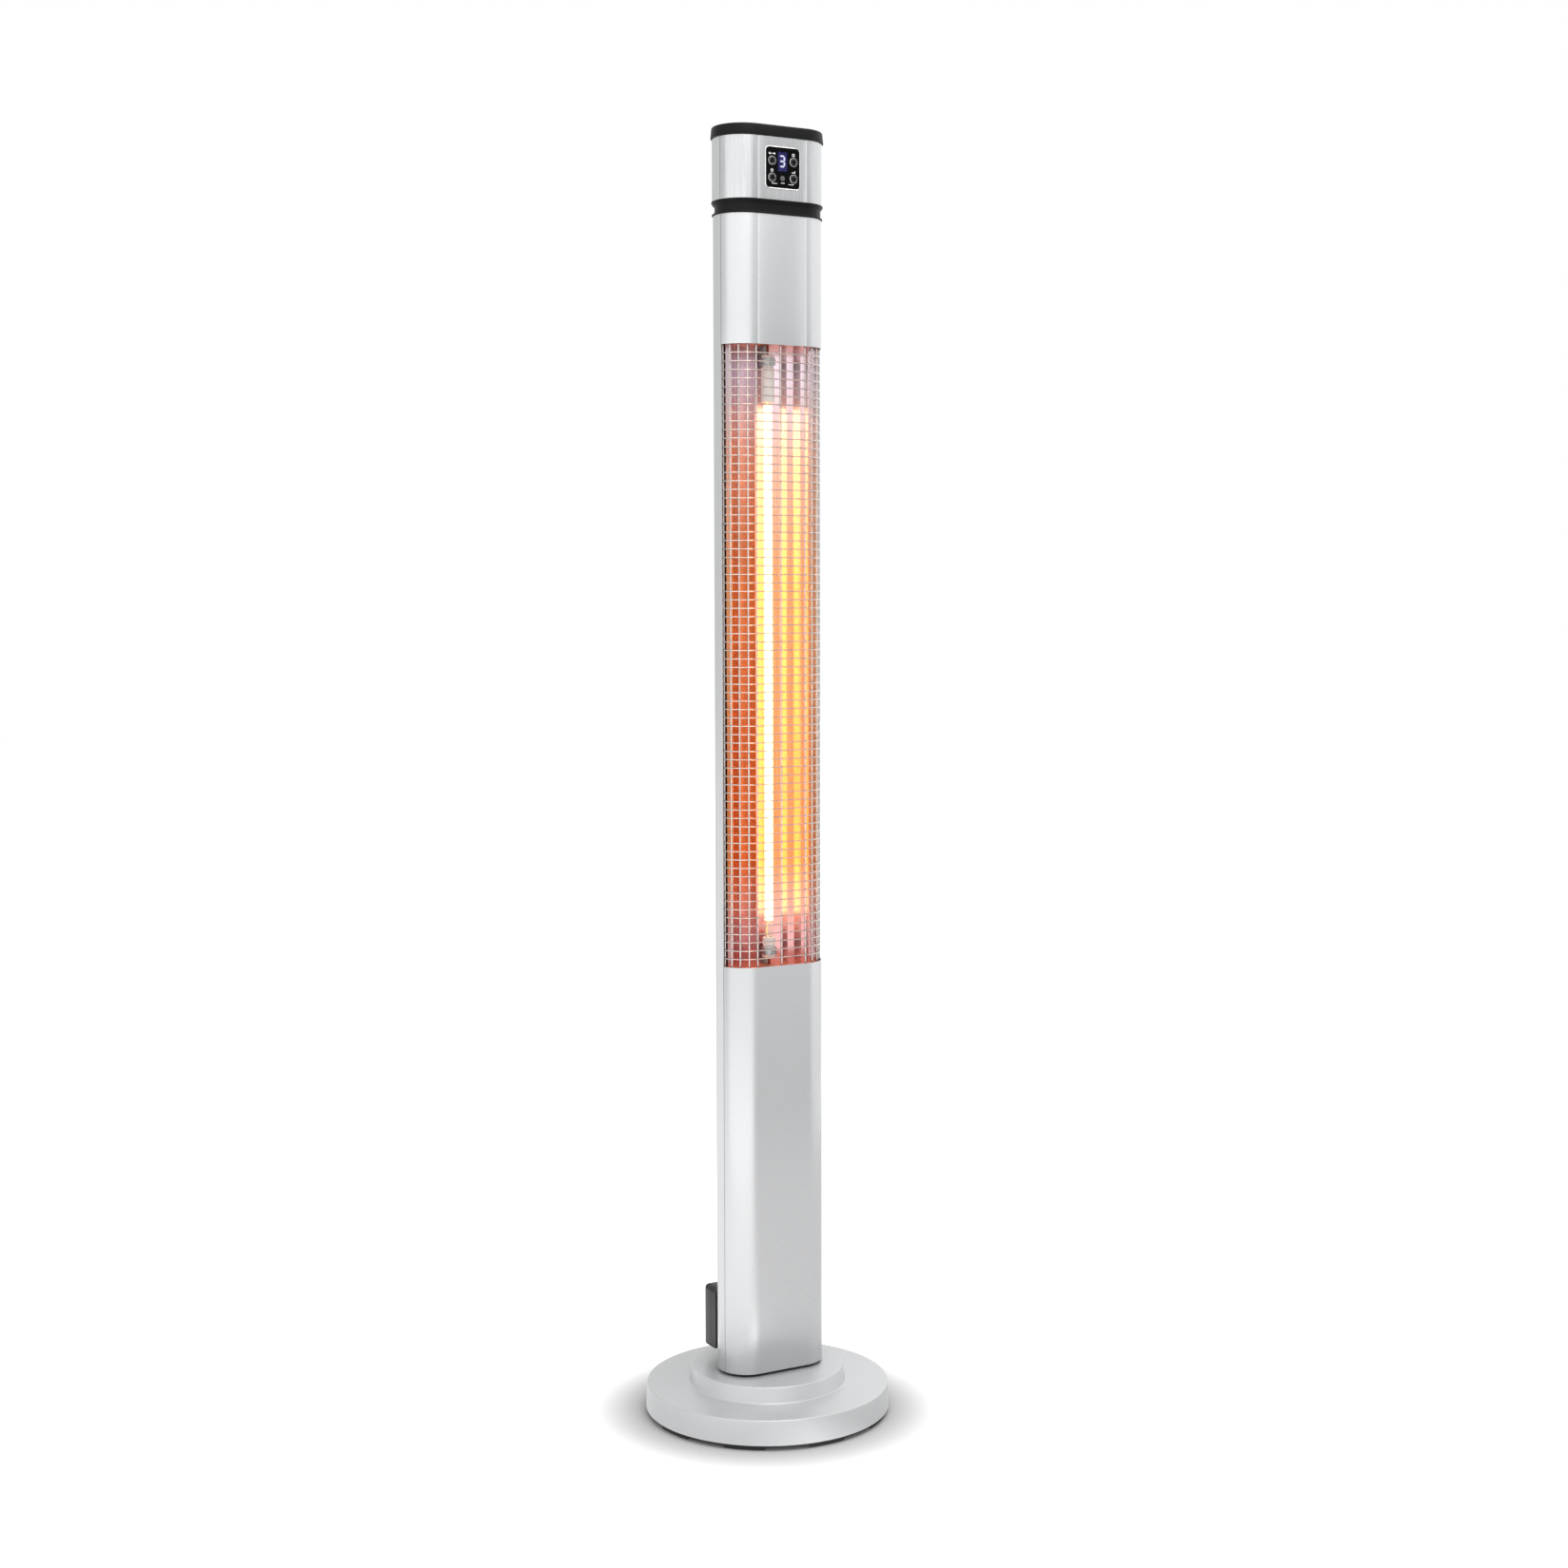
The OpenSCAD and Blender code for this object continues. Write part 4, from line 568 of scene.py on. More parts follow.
class HEATER_OT_finishes(bpy.types.Operator):
    """Make the finishes and put them on the CAD nodes that stay visible"""

    bl_idname = "heater.finishes"
    bl_label = "Finishes"

    def execute(self, context):
        FINISHES.clear()
        FINISHES.update(make_finishes())
        for key, name in [(key, name) for key, names in NODE_FINISH.items() for name in names.split()]:
            made = frame["nodes"][name]
            made.data.materials.clear()
            made.data.materials.append(FINISHES[key])
            made.data.polygons.foreach_set("use_smooth", np.ones(len(made.data.polygons), bool))
            weld = made.modifiers.new("weld", "WELD")
            weld.merge_threshold = WELD
            split = made.modifiers.new("edges", "EDGE_SPLIT")
            split.split_angle = math.radians(30)
        return {"FINISHED"}


# Base


class HEATER_OT_base(bpy.types.Operator):
    """Make the pressed base cover"""

    bl_idname = "heater.base"
    bl_label = "Base cover"

    def execute(self, context):
        foot_r, foot_z, top_z = high("base_cover")[0], low("base_cover")[2], high("base_cover")[2]
        thick, hole_r, step_r, slope_r, rim_r, slope_z, rim_z = 1.6, 18.0, 93.1, 97.5, 150.0, -19.0, -20.5
        # From the hole outwards over the top, down the wall to the foot, and back along the inside
        outline = np.array([(hole_r, -thick), (hole_r, 0), (step_r, 0), (slope_r, slope_z), (rim_r, rim_z),
                            (0, 0), (-thick, 0), (rim_r - thick, rim_z - thick),
                            (slope_r - thick, slope_z - thick), (step_r - thick, -thick)]) * MM
        outline[:, 1] += top_z
        outline[5:7, 0] += foot_r
        outline[5:7, 1] = foot_z
        radii = [0.3, 0.3, 1.6, 1.6, 1.8, 0.5, 0.5, 0.6, 2.0, 0.6]
        piece("base_cover_skin", [lathe(rounded(outline, radii, 7), 256)], "base_silver", "base_cover")
        return {"FINISHED"}


# Column


class HEATER_OT_column(bpy.types.Operator):
    """Make the sheet metal shells of column and head"""

    bl_idname = "heater.column"
    bl_label = "Column and head shells"

    def execute(self, context):
        # A pressed groove or a bare cut in the flat front: its place in X, half its width and its depth
        groove = [(side * 32.2 * MM, 1.05 * MM, 0.45 * MM) for side in (-1, 1)]
        hole_x, hole_z = 21.5 * MM, 22.5 * MM
        cut = [(side * hole_x, 1e-5, 0) for side in (-1, 1)]
        # Strips of the rear shell behind both seams, by their angles before and behind the seam
        ahead, behind = 10, 7
        strips = (((1, REAR_START - ahead, REAR_START + behind),),
                  ((-1, 180 - REAR_START - behind, 180 - REAR_START + ahead),))

        def rear(name, node, z0, z1, grow, spans):
            lips = [band(strip, start, end, grow - LIP_IN, 0, count=12)
                    for strip in strips for start, end in spans]
            piece(name, [band(REAR, z0, z1, grow), *lips], "silver", node)

        rear("rear_shell_skin", "rear_shell", COLUMN_Z, NECK_Z, 0, ((COLUMN_Z, FLOOR_Z), (CEILING_Z, NECK_Z)))
        piece("lower_front_skin", [band(FRONT, COLUMN_Z, GUARD_Z0, 0)], "silver", "lower_front_panel")
        piece("upper_front_skin", [band(FRONT, GUARD_Z1, NECK_Z, 0, dips=groove)], "silver",
              "upper_front_panel")
        rear("head_rear_skin", "head_rear_shell", HEAD_Z, CAP_Z, HEAD_GROW, ((HEAD_Z, CAP_Z),))
        parts = [band(FRONT, z0, z1, HEAD_GROW, dips=dips, span_x=span) for z0, z1, dips, span in (
            (HEAD_Z, CAP_Z, groove + cut, (-1, -hole_x)),
            (HEAD_Z, CAP_Z, groove + cut, (hole_x, 1)),
            (HEAD_Z, PANEL_Z - hole_z, cut, (-hole_x, hole_x)),
            (PANEL_Z + hole_z, CAP_Z, cut, (-hole_x, hole_x)),
        )]
        piece("head_front_skin", parts, "brushed", "head_front_panel")
        return {"FINISHED"}


class HEATER_OT_mouldings(bpy.types.Operator):
    """Make the moulded neck and top cap"""

    bl_idname = "heater.mouldings"
    bl_label = "Neck and cap"

    def execute(self, context):
        # Each profile in millimetres: how far it stands out from the column's face, and its height
        flange = (HEAD_Z - NECK_Z) / MM
        neck = np.array([(-4.7, -12), (-2.7, -12), (-2.7, 0), (1.3, 0), (1.3, 1.8), (-1.4, 1.8), (-1.4, 12.3),
                         (0.5, 12.3), (0.5, 14.4), (1.9, 14.4), (1.9, flange), (-1.7, flange),
                         (-1.7, flange + 12), (-4.7, flange + 12)]) * MM
        radii = [0.2, 0.4, 0, 0.5, 0.5, 0.4, 0.4, 0.4, 0.3, 0.6, 0.5, 0, 0.4, 0.2]
        path = rounded(neck, radii, 4)
        out, up = path.T
        waist = (up > 1.9 * MM) & (up < 12.2 * MM) & (out > -2 * MM)
        profile = np.stack([out, up + NECK_Z, np.where(waist, -1.0 * MM, 0.0)], -1)
        piece("neck_moulding", [section_turned(profile)], "plastic", "neck_collar")
        top, skirt, grow, middle = (TOP_Z - CAP_Z) / MM, -1.2, HEAD_GROW / MM, -END_R / MM
        cap = np.array([(middle, top - 2.2), (-4.7 + grow, top - 2.2), (-4.7 + grow, -12), (-2.7 + grow, -12),
                        (-2.7 + grow, 0), (0.2 + grow, 0), (0.2 + grow, skirt), (1.6 + grow, skirt),
                        (1.6 + grow, 0.4), (0.4 + grow, top), (middle, top)]) * MM
        radii = [0, 0.3, 0.2, 0.4, 0, 0.1, 0.2, 0.4, 0, 2.2, 0]
        out, up = rounded(cap, radii, 6).T
        profile = np.stack([out, up + CAP_Z, np.zeros(len(out))], -1)
        piece("cap_moulding", [section_turned(profile, closed=False)], "plastic", "top_cap")
        return {"FINISHED"}


# Guard and heater


class HEATER_OT_guard(bpy.types.Operator):
    """Make the wire guard with its spot welds"""

    bl_idname = "heater.guard"
    bl_label = "Wire guard"

    def execute(self, context):
        s = sizes()
        # Radius of the wires' bends about the round ends, and the angle at which they stop
        bend = MID_Y - low("wire_guard")[1] - 1.0 * MM
        stop = math.degrees(math.asin(4.85 * MM / bend))
        centres, normals = section_path(((-1, 180 + stop, 270), (1, -90, -stop)), 16)
        plan = centres + bend * normals
        wire = sweep(np.column_stack([plan, np.zeros(len(plan))]), s.wire_radius, 10)
        first = (GUARD_Z0 + GUARD_Z1) / 2 - s.wire_pitch * (s.wire_count - 1) / 2
        levels = first + s.wire_pitch * np.arange(s.wire_count)
        gap = 0.05 * MM
        ups = bend - s.wire_radius - s.upright_radius - gap
        turns = np.radians(np.linspace(stop + 3, 90, 5))
        # Each upright's place, and the direction from it to the wires
        spots = [(side * (END_X + ups * math.cos(a)), MID_Y - ups * math.sin(a),
                  side * math.cos(a), -math.sin(a)) for side in (-1, 1) for a in turns]
        spots.append((0, MID_Y - ups, 0, -1))
        heights = np.linspace(FLOOR_Z + s.upright_radius, CEILING_Z - s.upright_radius, 6)
        post = sweep([(0, 0, z) for z in heights], s.upright_radius, 12, up=(1, 0, 0))
        posts = copies(post, [(x, y, 0) for x, y, _, _ in spots])
        u, v = np.meshgrid(np.linspace(0, math.pi, 5), np.linspace(0, TAU, 6, endpoint=False), indexing="ij")
        ball = np.stack([np.sin(u) * np.cos(v), np.sin(u) * np.sin(v), np.cos(u)], -1) * 0.75 * MM
        out = s.upright_radius
        welds = copies(grid(ball), [(x + out * nx, y + out * ny, z)
                                    for x, y, nx, ny in spots for z in levels])
        piece("guard_wires", [copies(wire, [(0, 0, z) for z in levels]), posts, welds], "wire", "wire_guard")
        return {"FINISHED"}


class HEATER_OT_heater(bpy.types.Operator):
    """Make the quartz tube, its coil, its ceramic ends and its leads"""

    bl_idname = "heater.tube"
    bl_label = "Heating tube"

    def execute(self, context):
        s = sizes()
        z0, z1 = corners("filament")[:, 2]
        turns = (z1 - z0) / s.coil_pitch
        t = np.linspace(0, 1, int(turns * 14))
        angle = TAU * turns * t
        coil = np.stack([s.coil_radius * np.cos(angle), MID_Y + s.coil_radius * np.sin(angle),
                         z0 + s.coil_wire + (z1 - z0 - 2 * s.coil_wire) * t], -1)
        piece("filament_coil", [sweep(coil, s.coil_wire, 6)], "glow", "filament")
        lo, hi = corners("heating_tube")
        r, wall, axis = (hi[0] - lo[0]) / 2, 1.0 * MM, (0, MID_Y, 0)
        for name, start, end, glass in (("quartz_low_end", lo[2], z0, "quartz"),
                                        ("quartz_hot_part", z0, z1, "hot_quartz"),
                                        ("quartz_high_end", z1, hi[2], "quartz")):
            path = rounded([(r - wall, start), (r, start), (r, end), (r - wall, end)], [0.3] * 4, 3)
            piece(name, [lathe(path, 48, axis)], glass, "heating_tube")
        ends = []
        caps_lo, caps_hi = corners("tube_end_caps")
        cap_r, bore, seat = (caps_hi[0] - caps_lo[0]) / 2, 1.6 * MM, r + 0.1 * MM
        neck_r = cap_r - 1 * MM
        for base, up, tube_end in ((caps_lo[2], 1, lo[2]), (caps_hi[2], -1, hi[2])):
            waist, tip = base + up * 12 * MM, tube_end + up * 4 * MM
            ring = [(bore, base), (cap_r, base), (cap_r, waist - up * 1.5 * MM), (neck_r, waist),
                    (neck_r, waist + up * 2 * MM), (cap_r, waist + up * 3.5 * MM), (cap_r, tip), (seat, tip),
                    (seat, tube_end), (bore, tube_end)]
            radii = [0.3, 0.9, 0, 0, 0, 0, 0.9, 0.2, 0.2, 0.2]
            ends.append(lathe(rounded(ring, radii, 3), 56, axis))
        piece("ceramic_ends", ends, "ceramic", "tube_end_caps")
        # A bowed lead below the coil and a lead of one and a half turns above it
        t = np.linspace(0, 1, 24)
        middle = np.full(24, MID_Y)
        start = lo[2] + 1.2 * MM
        bow = np.stack([-3.3 * MM * np.sin(math.pi * t), middle, start + (z0 - start + 0.5 * MM) * t], -1)
        wound = 1.2 * MM
        coil_end = np.stack([wound * np.sin(TAU * 1.5 * t), middle + wound * np.cos(TAU * 1.5 * t),
                             z1 + (hi[2] - z1 - wound) * t], -1)
        hot = [sweep(bow, 0.6 * MM, 8, up=(0, 1, 0)), sweep(coil_end, 0.5 * MM, 8, up=(0, 1, 0.3))]
        piece("hot_leads", hot, "hot_lead", "tube_leads")
        # The sleeved leads run out of the caps and turn towards the wiring behind the reflector
        leads = []
        bend, reach, toward = 5 * MM, 37.9 * MM, np.array([0.6604, 0.7509])
        turn = np.linspace(0, math.pi / 2, 10)
        corner = np.stack([bend * (1 - np.cos(turn)), -bend * np.sin(turn)], -1)
        away = np.concatenate([[0], corner[:, 0], [reach]])
        for out, into, up in ((FLOOR_Z - 7.5 * MM, caps_lo[2] + 6 * MM, 1),
                              (CEILING_Z + 7.5 * MM, caps_hi[2] - 6 * MM, -1)):
            level = np.concatenate([[into], out + up * bend + up * corner[:, 1], [out]])
            way = np.column_stack([away * toward[0], MID_Y + away * toward[1], level])
            leads.append(sweep(way, 1.4 * MM, 10, up=(toward[1], -toward[0], 0)))
        piece("sleeved_leads", leads, "sleeve", "tube_leads")
        return {"FINISHED"}


class HEATER_OT_reflector(bpy.types.Operator):
    """Make the folded reflector"""

    bl_idname = "heater.reflector"
    bl_label = "Reflector"

    def execute(self, context):
        # Bends of the sheet from its middle fold outwards, in X and Y
        half = np.array([(0, 25.3), (11.0, 21.3), (28.5, 14.8), (34.8, 8.4), (41.1, 3.5), (46.7, -4.8),
                         (50.7, -8.8), (53.0, -13.2), (61.5, -14.2)]) * MM
        path = np.vstack([half[:0:-1] * [-1, 1], half])
        folds = [rounded(path[i - 1 : i + 2], [0, 1.2, 0], 4)[1:-1] for i in range(1, len(path) - 1)]
        soft = np.vstack([path[:1], *folds, path[-1:]])
        along = np.gradient(soft, axis=0)
        along /= np.linalg.norm(along, axis=1, keepdims=True)
        side = np.stack([-along[:, 1], along[:, 0]], -1)
        thick = 0.8 * MM
        plan = np.vstack([soft, (soft + side * thick)[::-1]])
        points = raised(np.array([plan, plan]), (FLOOR_Z, CEILING_Z))
        piece("reflector_sheet", [sheet(points)], "reflector", "reflector")
        return {"FINISHED"}


# Controls

# Each button's side and its height over the panel's middle in millimetres
BUTTONS = {"button_swing": (-1, 7.7), "button_timer": (1, 7.7), "button_off": (-1, -11.8),
           "button_mode": (1, -11.8)}
BUTTON_X = 14.5 * MM
LIT = "abgcd"


class HEATER_OT_controls(bpy.types.Operator):
    """Make the trim ring, the display's digit, the receiver's lens and the printed signs"""

    bl_idname = "heater.controls"
    bl_label = "Control panel"

    def execute(self, context):
        lo, hi = corners("fascia_bezel")
        (width, deep, height), radius = hi - lo, 5.5
        # Rings from the back inside over the front to the back outside: how far in, and how deep
        rows = []
        for inward, back in ((0, 1), (0, 0.3), (0.15, 0.08), (0.45, 0), (0.75, 0.08), (0.9, 0.3), (0.9, 1)):
            w, h = width / 2 - inward * MM, height / 2 - inward * MM
            ring = rounded([(-w, -h), (w, -h), (w, h), (-w, h)], [radius - inward] * 4, 8) + [0, PANEL_Z]
            rows.append(np.insert(ring, 1, lo[1] + back * deep, axis=1))
        piece("trim_ring", [grid(np.array(rows), closed=True)], "bright_trim", "fascia_bezel")
        self.digit()
        lens_r = 3.35 * MM
        u = np.linspace(0, math.pi / 2, 8)
        profile = np.vstack([np.stack([lens_r * np.sin(u), 0.5 * MM * np.cos(u)], -1),
                             [(lens_r, -1.3 * MM), (0, -1.3 * MM)]])
        centre = (0, FASCIA_Y + 0.55 * MM, PANEL_Z - 12.2 * MM)
        piece("receiver_lens", [lathe(profile, 40, centre, "-Y")], "smoked", "ir_window")
        self.signs()
        return {"FINISHED"}

    def digit(self):
        """Seven bars in a figure of eight, those of a plain 3 lit: each bar is a long hexagon."""
        tall = sizes().digit_height
        wide, bar = tall * 0.58, tall * 0.15
        y0 = high("display_window")[1] + 0.03 * MM
        centre = PANEL_Z + 8.0 * MM
        h, w = tall / 2 - bar / 2, wide / 2 - bar / 2
        # Bars a to f run round six corners, and bar g crosses from the sixth to the third
        ends = np.array([(-w, h), (w, h), (w, 0), (w, -h), (-w, -h), (-w, 0)])
        lit, unlit = [], []
        for key, a, b in zip("abcdefg", ends[[0, 1, 2, 3, 4, 5, 5]], ends[[1, 2, 3, 4, 5, 0, 2]]):
            along = (b - a) / np.linalg.norm(b - a)
            side = np.array([-along[1], along[0]]) * bar / 2
            a, b = a + along * 0.25 * MM, b - along * 0.25 * MM
            inset = along * bar / 2
            outline = [a, a + inset - side, b - inset - side, b, b - inset + side, a + inset + side]
            (lit if key in LIT else unlit).append(plate(np.array(outline) + [0, centre], y0, y0 + 0.1 * MM))
        piece("digit_lit", lit, "digit", body="column")
        piece("digit_unlit", unlit, "display", body="column")

    def signs(self):
        """Plain signs over the buttons: a double arrow, a clock, a broken ring and three bars."""
        w, left, right, upper, lower = 0.55 * MM, -BUTTON_X, BUTTON_X, 15.9, -3.5

        def arc(r, a0, a1, n):
            angles = np.radians(np.linspace(a0, a1, n))
            return [(r * math.cos(a), r * math.sin(a)) for a in angles]

        # Each stroke: the sign's place, its points in millimetres about it and its width
        strokes = [
            (left, upper, [(-4.2, 0), (4.2, 0)], w),
            (left, upper, [(-2.8, 1.2), (-4.2, 0), (-2.8, -1.2)], w),
            (left, upper, [(2.8, 1.2), (4.2, 0), (2.8, -1.2)], w),
            (right, upper, arc(1.6, 0, 360, 28), w),
            (right, upper, [(0, 1.0), (0, 0), (0.8, -0.4)], w * 0.8),
            (left, lower, arc(1.5, -235, 55, 20), w),
            (left, lower, [(0, 0.3), (0, 1.8)], w),
            *[(right, lower, [(x, -1.4), (x, z)], w * 1.3) for x, z in ((-1.8, -1.0), (0, -0.2), (1.8, 0.8))],
            (left, -18.6, [(0, 0.6), (0.6, 0), (6.4, 0)], w),
            (right, -18.6, [(0, 0.6), (-0.6, 0), (-6.4, 0)], w),
            (0, -17.6, [(-2.2, 0), (2.2, 0)], w),
        ]
        out = []
        for x, z, path, width in strokes:
            points = [(x + px * MM, PANEL_Z + (z + pz) * MM) for px, pz in path]
            out += stroke(points, width, FASCIA_Y - 0.04 * MM, FASCIA_Y + 0.05 * MM)
        piece("printed_signs", out, "ink", body="column")


class HEATER_OT_buttons(bpy.types.Operator):
    """Make the four push buttons with their pale rings"""

    bl_idname = "heater.buttons"
    bl_label = "Buttons"

    def execute(self, context):
        ring = sizes().ring_width
        for name, (side, up) in BUTTONS.items():
            lo, hi = corners(name)
            flange_r = (hi[0] - lo[0]) / 2
            cap_r, collar = flange_r - 1.2 * MM, (hi[1] - lo[1]) / MM - 2.8
            outline = np.array([(0, 0.3), (3.6, 0), (cap_r / MM, 0), (cap_r / MM, collar),
                                (flange_r / MM, collar), (flange_r / MM, collar + 1), (1.6, collar + 1),
                                (1.6, collar + 2.8), (0, collar + 2.8)]) * MM
            profile = rounded(outline, [0, 0.6, 0.45, 0.2, 0.2, 0.2, 0, 0.3, 0], 4)
            x, z = side * BUTTON_X, PANEL_Z + up * MM
            piece(name + "_cap", [lathe(profile, 48, (x, lo[1], z), "Y")], "button", name)
            outer, proud = cap_r - 0.05 * MM, -0.03 * MM
            rows = [(outer + 0.08 * MM, 0.5 * MM), (outer + 0.08 * MM, 0.2 * MM), (outer - 0.3 * MM, proud),
                    (outer - ring, proud), (outer - ring, 0.5 * MM)]
            piece(name + "_ring", [lathe(rows, 48, (x, lo[1] + 0.04 * MM, z), "Y")], "ink",
                  body=name + "_body")
        return {"FINISHED"}


# Rear box and screws


HEAD_R = 3.2 * MM


def screw(centre, axis, shank_r=1.55 * MM, length=7 * MM):
    """A pan head with a cross recess: the head's height falls with the distance from its middle to the
    power 2.6, less a depth within the arms of a cross. Then come its side and the shank."""
    head_h, arm_half, arm_reach, depth = 1.8 * MM, 0.42 * MM, 1.9 * MM, 0.95 * MM
    rho = np.concatenate([np.linspace(0, 0.72, 16), np.linspace(0.76, 1, 5)])[:, None] * HEAD_R
    turn = circle(40)
    plan = rho[..., None] * turn
    arm = np.abs(plan).min(-1)
    inside = 1 / (1 + np.exp((arm - arm_half) / (0.05 * MM))) / (1 + np.exp((rho - arm_reach) / (0.08 * MM)))
    top = head_h * (1 - 0.45 * (rho / HEAD_R) ** 2.6) - depth * inside
    radius, level = np.array([(HEAD_R, 0), (shank_r, 0), (shank_r, -length), (0, -length)]).T
    points = np.concatenate([np.concatenate([plan, top[..., None]], -1),
                             raised(radius[:, None, None] * turn, level)])
    order, sign = LAID[axis]
    return grid(points[..., order] * sign + centre)


class HEATER_OT_rear(bpy.types.Operator):
    """Make the cable gland and the screws that show"""

    bl_idname = "heater.rear"
    bl_label = "Gland and screws"

    def execute(self, context):
        lo, hi = corners("cable_gland")
        cover, z = high("rear_box_cover")[1], (lo[2] + hi[2]) / 2
        bore, body_r = 4.0 * MM, 8.0 * MM
        # Radius, height over the cover and kind of each ring outside: 0 round, 1 hexagon, 2 fluted
        outside = [(11.3, 0, 1), (11.5, 0.5, 1), (11.5, 5.5, 1), (11.0, 6, 1), (9.6, 6, 2), (9.9, 6.8, 2),
                   (9.8, 11, 2), (9.0, 14, 2), (7.6, 16.4, 0), (6.2, 17.6, 0)]
        rows = np.array([(bore, lo[1], 0), (body_r, lo[1], 0), (body_r, cover, 0),
                         *[(r * MM, cover + up * MM, kind) for r, up, kind in outside],
                         (5.2 * MM, hi[1], 0), (bore, hi[1], 0)])

        angle = np.linspace(0, TAU, 192, endpoint=False)
        hexagon = math.cos(math.pi / 6) / np.cos(np.mod(angle, math.pi / 3) - math.pi / 6)
        flutes = 1 - 0.035 * (0.5 + 0.5 * np.cos(angle * 16))
        scale = np.stack([np.ones_like(angle), hexagon, flutes])[rows[:, 2].astype(int)]
        piece("gland_moulding", [lathe(rows[:, :2], 192, (0, 0, z), "Y", scale)], "plastic", "cable_gland")
        # Rows of two along the back: height and the face that they sit on
        head_y = BACK_Y + HEAD_GROW
        levels = ((COLUMN_Z + 4.75 * MM, BACK_Y), (FLOOR_Z - 7.5 * MM, BACK_Y),
                  (CEILING_Z + 7.5 * MM, BACK_Y), (NECK_Z - 6 * MM, BACK_Y),
                  (HEAD_Z + 6 * MM, head_y), (CAP_Z - 6 * MM, head_y))
        spots = [(side * 12 * MM, y, z) for z, y in levels for side in (-1, 1)]
        piece("back_screws", [screw(p, "Y") for p in spots], "zinc", "shell_screws")
        lo, hi = corners("rear_box_screws")
        spots = [(x, hi[1] - 1.8 * MM, z) for x in (lo[0] + HEAD_R, hi[0] - HEAD_R)
                 for z in (lo[2] + HEAD_R, hi[2] - HEAD_R)]
        piece("box_screws", [screw(p, "Y", length=20 * MM) for p in spots], "zinc", "rear_box_screws")
        ring, plate_z = high("base_screws")[1] - HEAD_R, low("base_bottom_plate")[2]
        under = [screw((ring * math.cos(a), ring * math.sin(a), plate_z), "-Z", 1.6 * MM, 12.5 * MM)
                 for a in np.radians(np.arange(6) * 60 + 30)]
        piece("underside_screws", under, "zinc", "base_screws")
        return {"FINISHED"}


# Stage


def bent_rays(tree):
    """The light path's node, and 1 for rays off gloss or through glass, else 0."""
    path = add(tree, "ShaderNodeLightPath")
    bent = add(tree, "ShaderNodeMath", {0: (path, "Is Glossy Ray"), 1: (path, "Is Transmission Ray")},
               operation="MAXIMUM")
    return path, bent


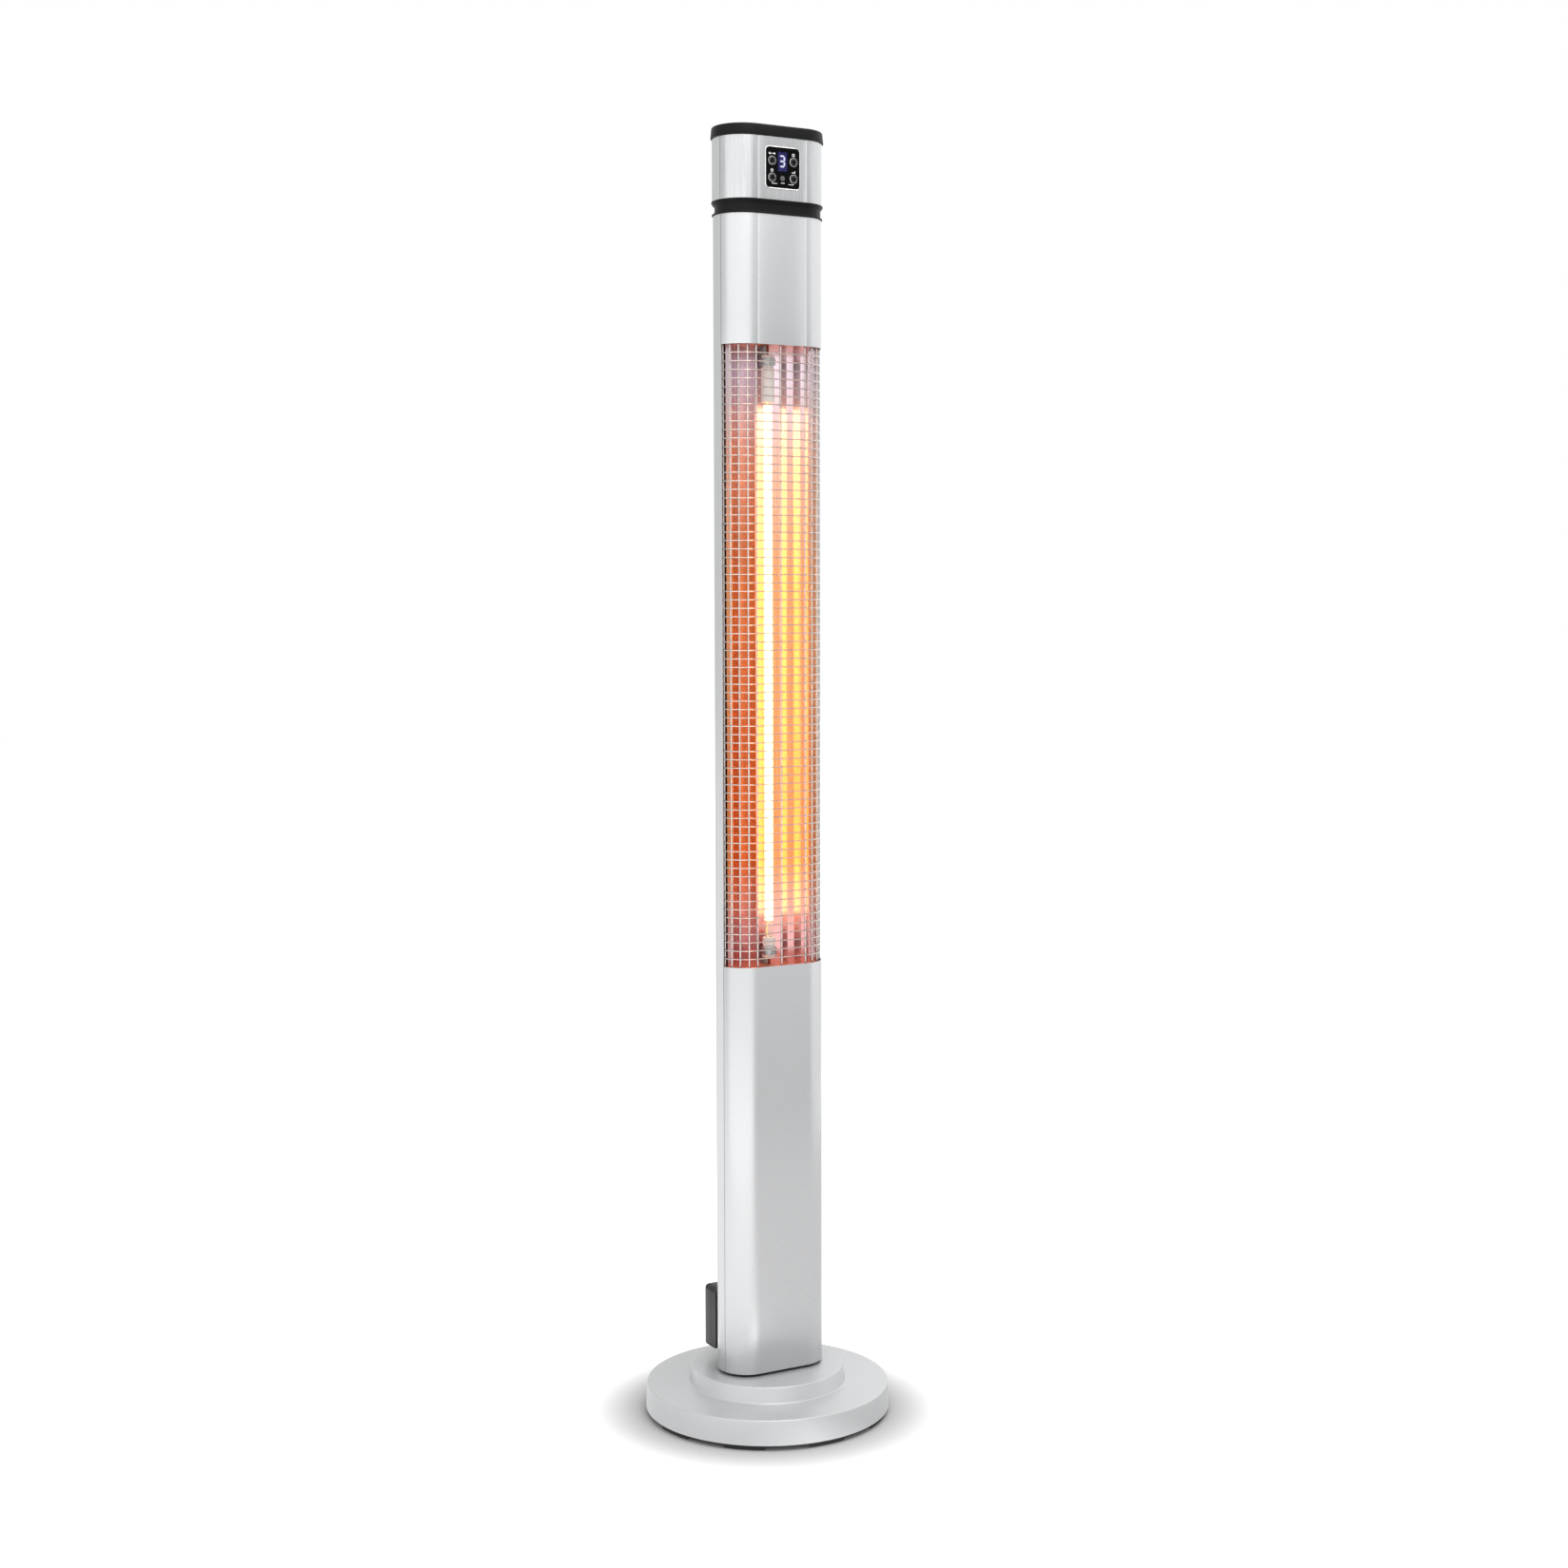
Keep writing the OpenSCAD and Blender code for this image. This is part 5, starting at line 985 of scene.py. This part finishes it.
class HEATER_OT_stage(bpy.types.Operator):
    """Make the floor, the studio light and the camera"""

    bl_idname = "heater.stage"
    bl_label = "Stage"

    def execute(self, context):
        context.scene.view_settings.view_transform = "Standard"
        self.floor()
        self.world(context.scene)
        self.lamps()
        self.camera(context.scene)
        return {"FINISHED"}

    def floor(self):
        """A wide pale floor that takes the shadow and is white to the camera away from the base. Near the
        base its lift to white fades out, which paints a darker ring of shadow round the base on top of the
        real one.
        """
        half, grey = 14.0, 0.56
        floor = bpy.data.meshes.new("floor")
        floor.from_pydata([(x * half, y * half, 0) for x, y in ((-1, -1), (1, -1), (1, 1), (-1, 1))], [],
                          [(0, 1, 2, 3)])
        material = bpy.data.materials.new("pale studio floor")
        tree = empty_tree(material)
        matt = add(tree, "ShaderNodeBsdfDiffuse", {"Color": (grey, grey, grey, 1)})
        place = add(tree, "ShaderNodeTexCoord")
        away = add(tree, "ShaderNodeVectorMath", {"Vector": (place, "Object")}, operation="LENGTH")
        aside = add(tree, "ShaderNodeSeparateXYZ", {"Vector": (place, "Object")})
        path, bent = bent_rays(tree)
        # Painted shadow: the lift to white that the camera sees fades out towards the base, darkening a ring
        # round it
        level = add(tree, "ShaderNodeMapRange", interpolation_type="SMOOTHSTEP", sockets={
            "Value": (away, "Value"), "From Min": 0.14, "From Max": 0.27, "To Min": 0.0, "To Max": 0.9})
        seen = add(tree, "ShaderNodeMath", {0: (path, "Is Camera Ray"), 1: (level, "Result")},
                   operation="MULTIPLY")
        # Gloss sees a floor that is brighter on the left, and near the base a bright stripe in front
        card = add(tree, "ShaderNodeMapRange",
                   {"Value": (aside, "X"), "From Min": 0.15, "From Max": -0.15, "To Min": 0.5, "To Max": 1.1})
        peak, reach = 1.7, 0.3
        across = add(tree, "ShaderNodeMapRange",
                     {"Value": (aside, "X"), "From Min": -reach, "From Max": reach})
        stripe = add(tree, "ShaderNodeValToRGB", {"Fac": (across, "Result")})
        levels = ((-0.3, 0.55), (-0.12, 0.8), (-0.01, peak), (0.05, 0.9), (0.1, 0.35))
        set_stops(stripe, [((x + reach) / (2 * reach), (strength / peak,) * 3) for x, strength in levels])
        bright = add(tree, "ShaderNodeMath", {0: (stripe, "Color"), 1: peak}, operation="MULTIPLY")
        near = add(tree, "ShaderNodeMapRange", {"Value": (away, "Value"), "From Min": 0.3, "From Max": 0.25})
        sheen = add(tree, "ShaderNodeMix", {0: (near, "Result"), 2: (card, "Result"), 3: (bright, "Value")})
        lifted = add(tree, "ShaderNodeMath", {0: (bent, "Value"), 1: (sheen, 0), 2: (seen, "Value")},
                     operation="MULTIPLY_ADD")
        lift = add(tree, "ShaderNodeEmission", {"Color": (1, 1, 1, 1), "Strength": (lifted, "Value")})
        both = add(tree, "ShaderNodeAddShader", {0: (matt, "BSDF"), 1: (lift, "Emission")})
        add(tree, "ShaderNodeOutputMaterial", {"Surface": (both, "Shader")})
        floor.materials.append(material)
        placed("floor", floor)

    def world(self, scene):
        """An even white sky: full white where it is seen, half of that as light."""
        world = bpy.data.worlds.new("studio")
        scene.world = world
        tree = empty_tree(world)
        path, bent = bent_rays(tree)
        seen = add(tree, "ShaderNodeMath", {0: (path, "Is Camera Ray"), 1: (bent, "Value")},
                   operation="MAXIMUM")
        level = add(tree, "ShaderNodeMapRange", {"Value": (seen, "Value"), "To Min": 0.5, "To Max": 1.0})
        sky = add(tree, "ShaderNodeBackground", {"Color": (1, 1, 1, 1), "Strength": (level, "Result")})
        add(tree, "ShaderNodeOutputWorld", {"Surface": (sky, "Background")})

    def lamps(self):
        """Softboxes by their azimuth from the front, distance, size, height and radiance. Each faces the
        column."""
        for name, turn, dist, size, rise, radiance in (
            ("left softbox", -46, 1.1, (2.6, 2.4), 1.2, 0.46),
            ("upper left softbox", -46, 1.1, (2.6, 1.4), 1.9, 0.24),
            ("right softbox", 97, 1.6, (3.6, 2.4), 1.2, 0.46),
            ("high softbox", 10, 0.7, (1.4, 1.4), 2.8, 4.6),
        ):
            turn = math.radians(turn)
            place = np.array([dist * math.sin(turn), -dist * math.cos(turn), rise])
            light = bpy.data.lights.new(name, "AREA")
            light.shape = "RECTANGLE"
            light.size, light.size_y = size
            light.energy = radiance * math.pi * size[0] * size[1]
            back = place - [0, 0, min(rise, 1.2)]
            back /= np.linalg.norm(back)
            side = np.cross((0, 0, 1), back)
            side /= np.linalg.norm(side)
            turned = np.eye(4)
            turned[:3] = np.column_stack([side, np.cross(back, side), back, place])
            placed(name, light).matrix_world = Matrix(turned.tolist())

    def camera(self, scene):
        """The camera fitted to the photograph: its place, and its heading, pitch and roll in degrees."""
        place, heading, pitch, roll = (-1.3719, -2.4596, 1.01117), -29.60, 90 - 4.65, -0.11
        lens = bpy.data.cameras.new("camera")
        lens.sensor_width, lens.lens = 36.0, 53.01
        lens.clip_start, lens.clip_end = 0.05, 60
        camera = placed("camera", lens)
        camera.matrix_world = Matrix.Translation(place)
        for degrees, axis in ((heading, "Z"), (pitch, "X"), (roll, "Z")):
            camera.matrix_world @= Matrix.Rotation(math.radians(degrees), 4, axis)
        scene.camera = camera


OPERATORS = (
    HEATER_OT_finishes, HEATER_OT_base, HEATER_OT_column, HEATER_OT_mouldings, HEATER_OT_guard,
    HEATER_OT_heater, HEATER_OT_reflector, HEATER_OT_controls, HEATER_OT_buttons, HEATER_OT_rear,
    HEATER_OT_stage,
)


class HEATER_PT_panel(bpy.types.Panel):
    """Lists the heater's sizes, colours and pieces"""

    bl_idname = "HEATER_PT_panel"
    bl_label = "Infrared patio heater"
    bl_space_type = "VIEW_3D"
    bl_region_type = "UI"
    bl_category = "Heater"

    def draw(self, context):
        for group in (context.scene.heater_sizes, context.scene.heater_colours):
            for key in group.__annotations__:
                self.layout.prop(group, key)
        for operator in OPERATORS:
            self.layout.operator(operator.bl_idname)


CLASSES = (HeaterSizes, HeaterColours, *OPERATORS, HEATER_PT_panel)


def register():
    for made in CLASSES:
        bpy.utils.register_class(made)
    bpy.types.Scene.heater_sizes = PointerProperty(type=HeaterSizes)
    bpy.types.Scene.heater_colours = PointerProperty(type=HeaterColours)


def unregister():
    del bpy.types.Scene.heater_colours
    del bpy.types.Scene.heater_sizes
    for made in reversed(CLASSES):
        bpy.utils.unregister_class(made)


def main():
    register()
    for operator in OPERATORS:
        space, name = operator.bl_idname.split(".")
        getattr(getattr(bpy.ops, space), name)()


if __name__ == "__main__":
    main()
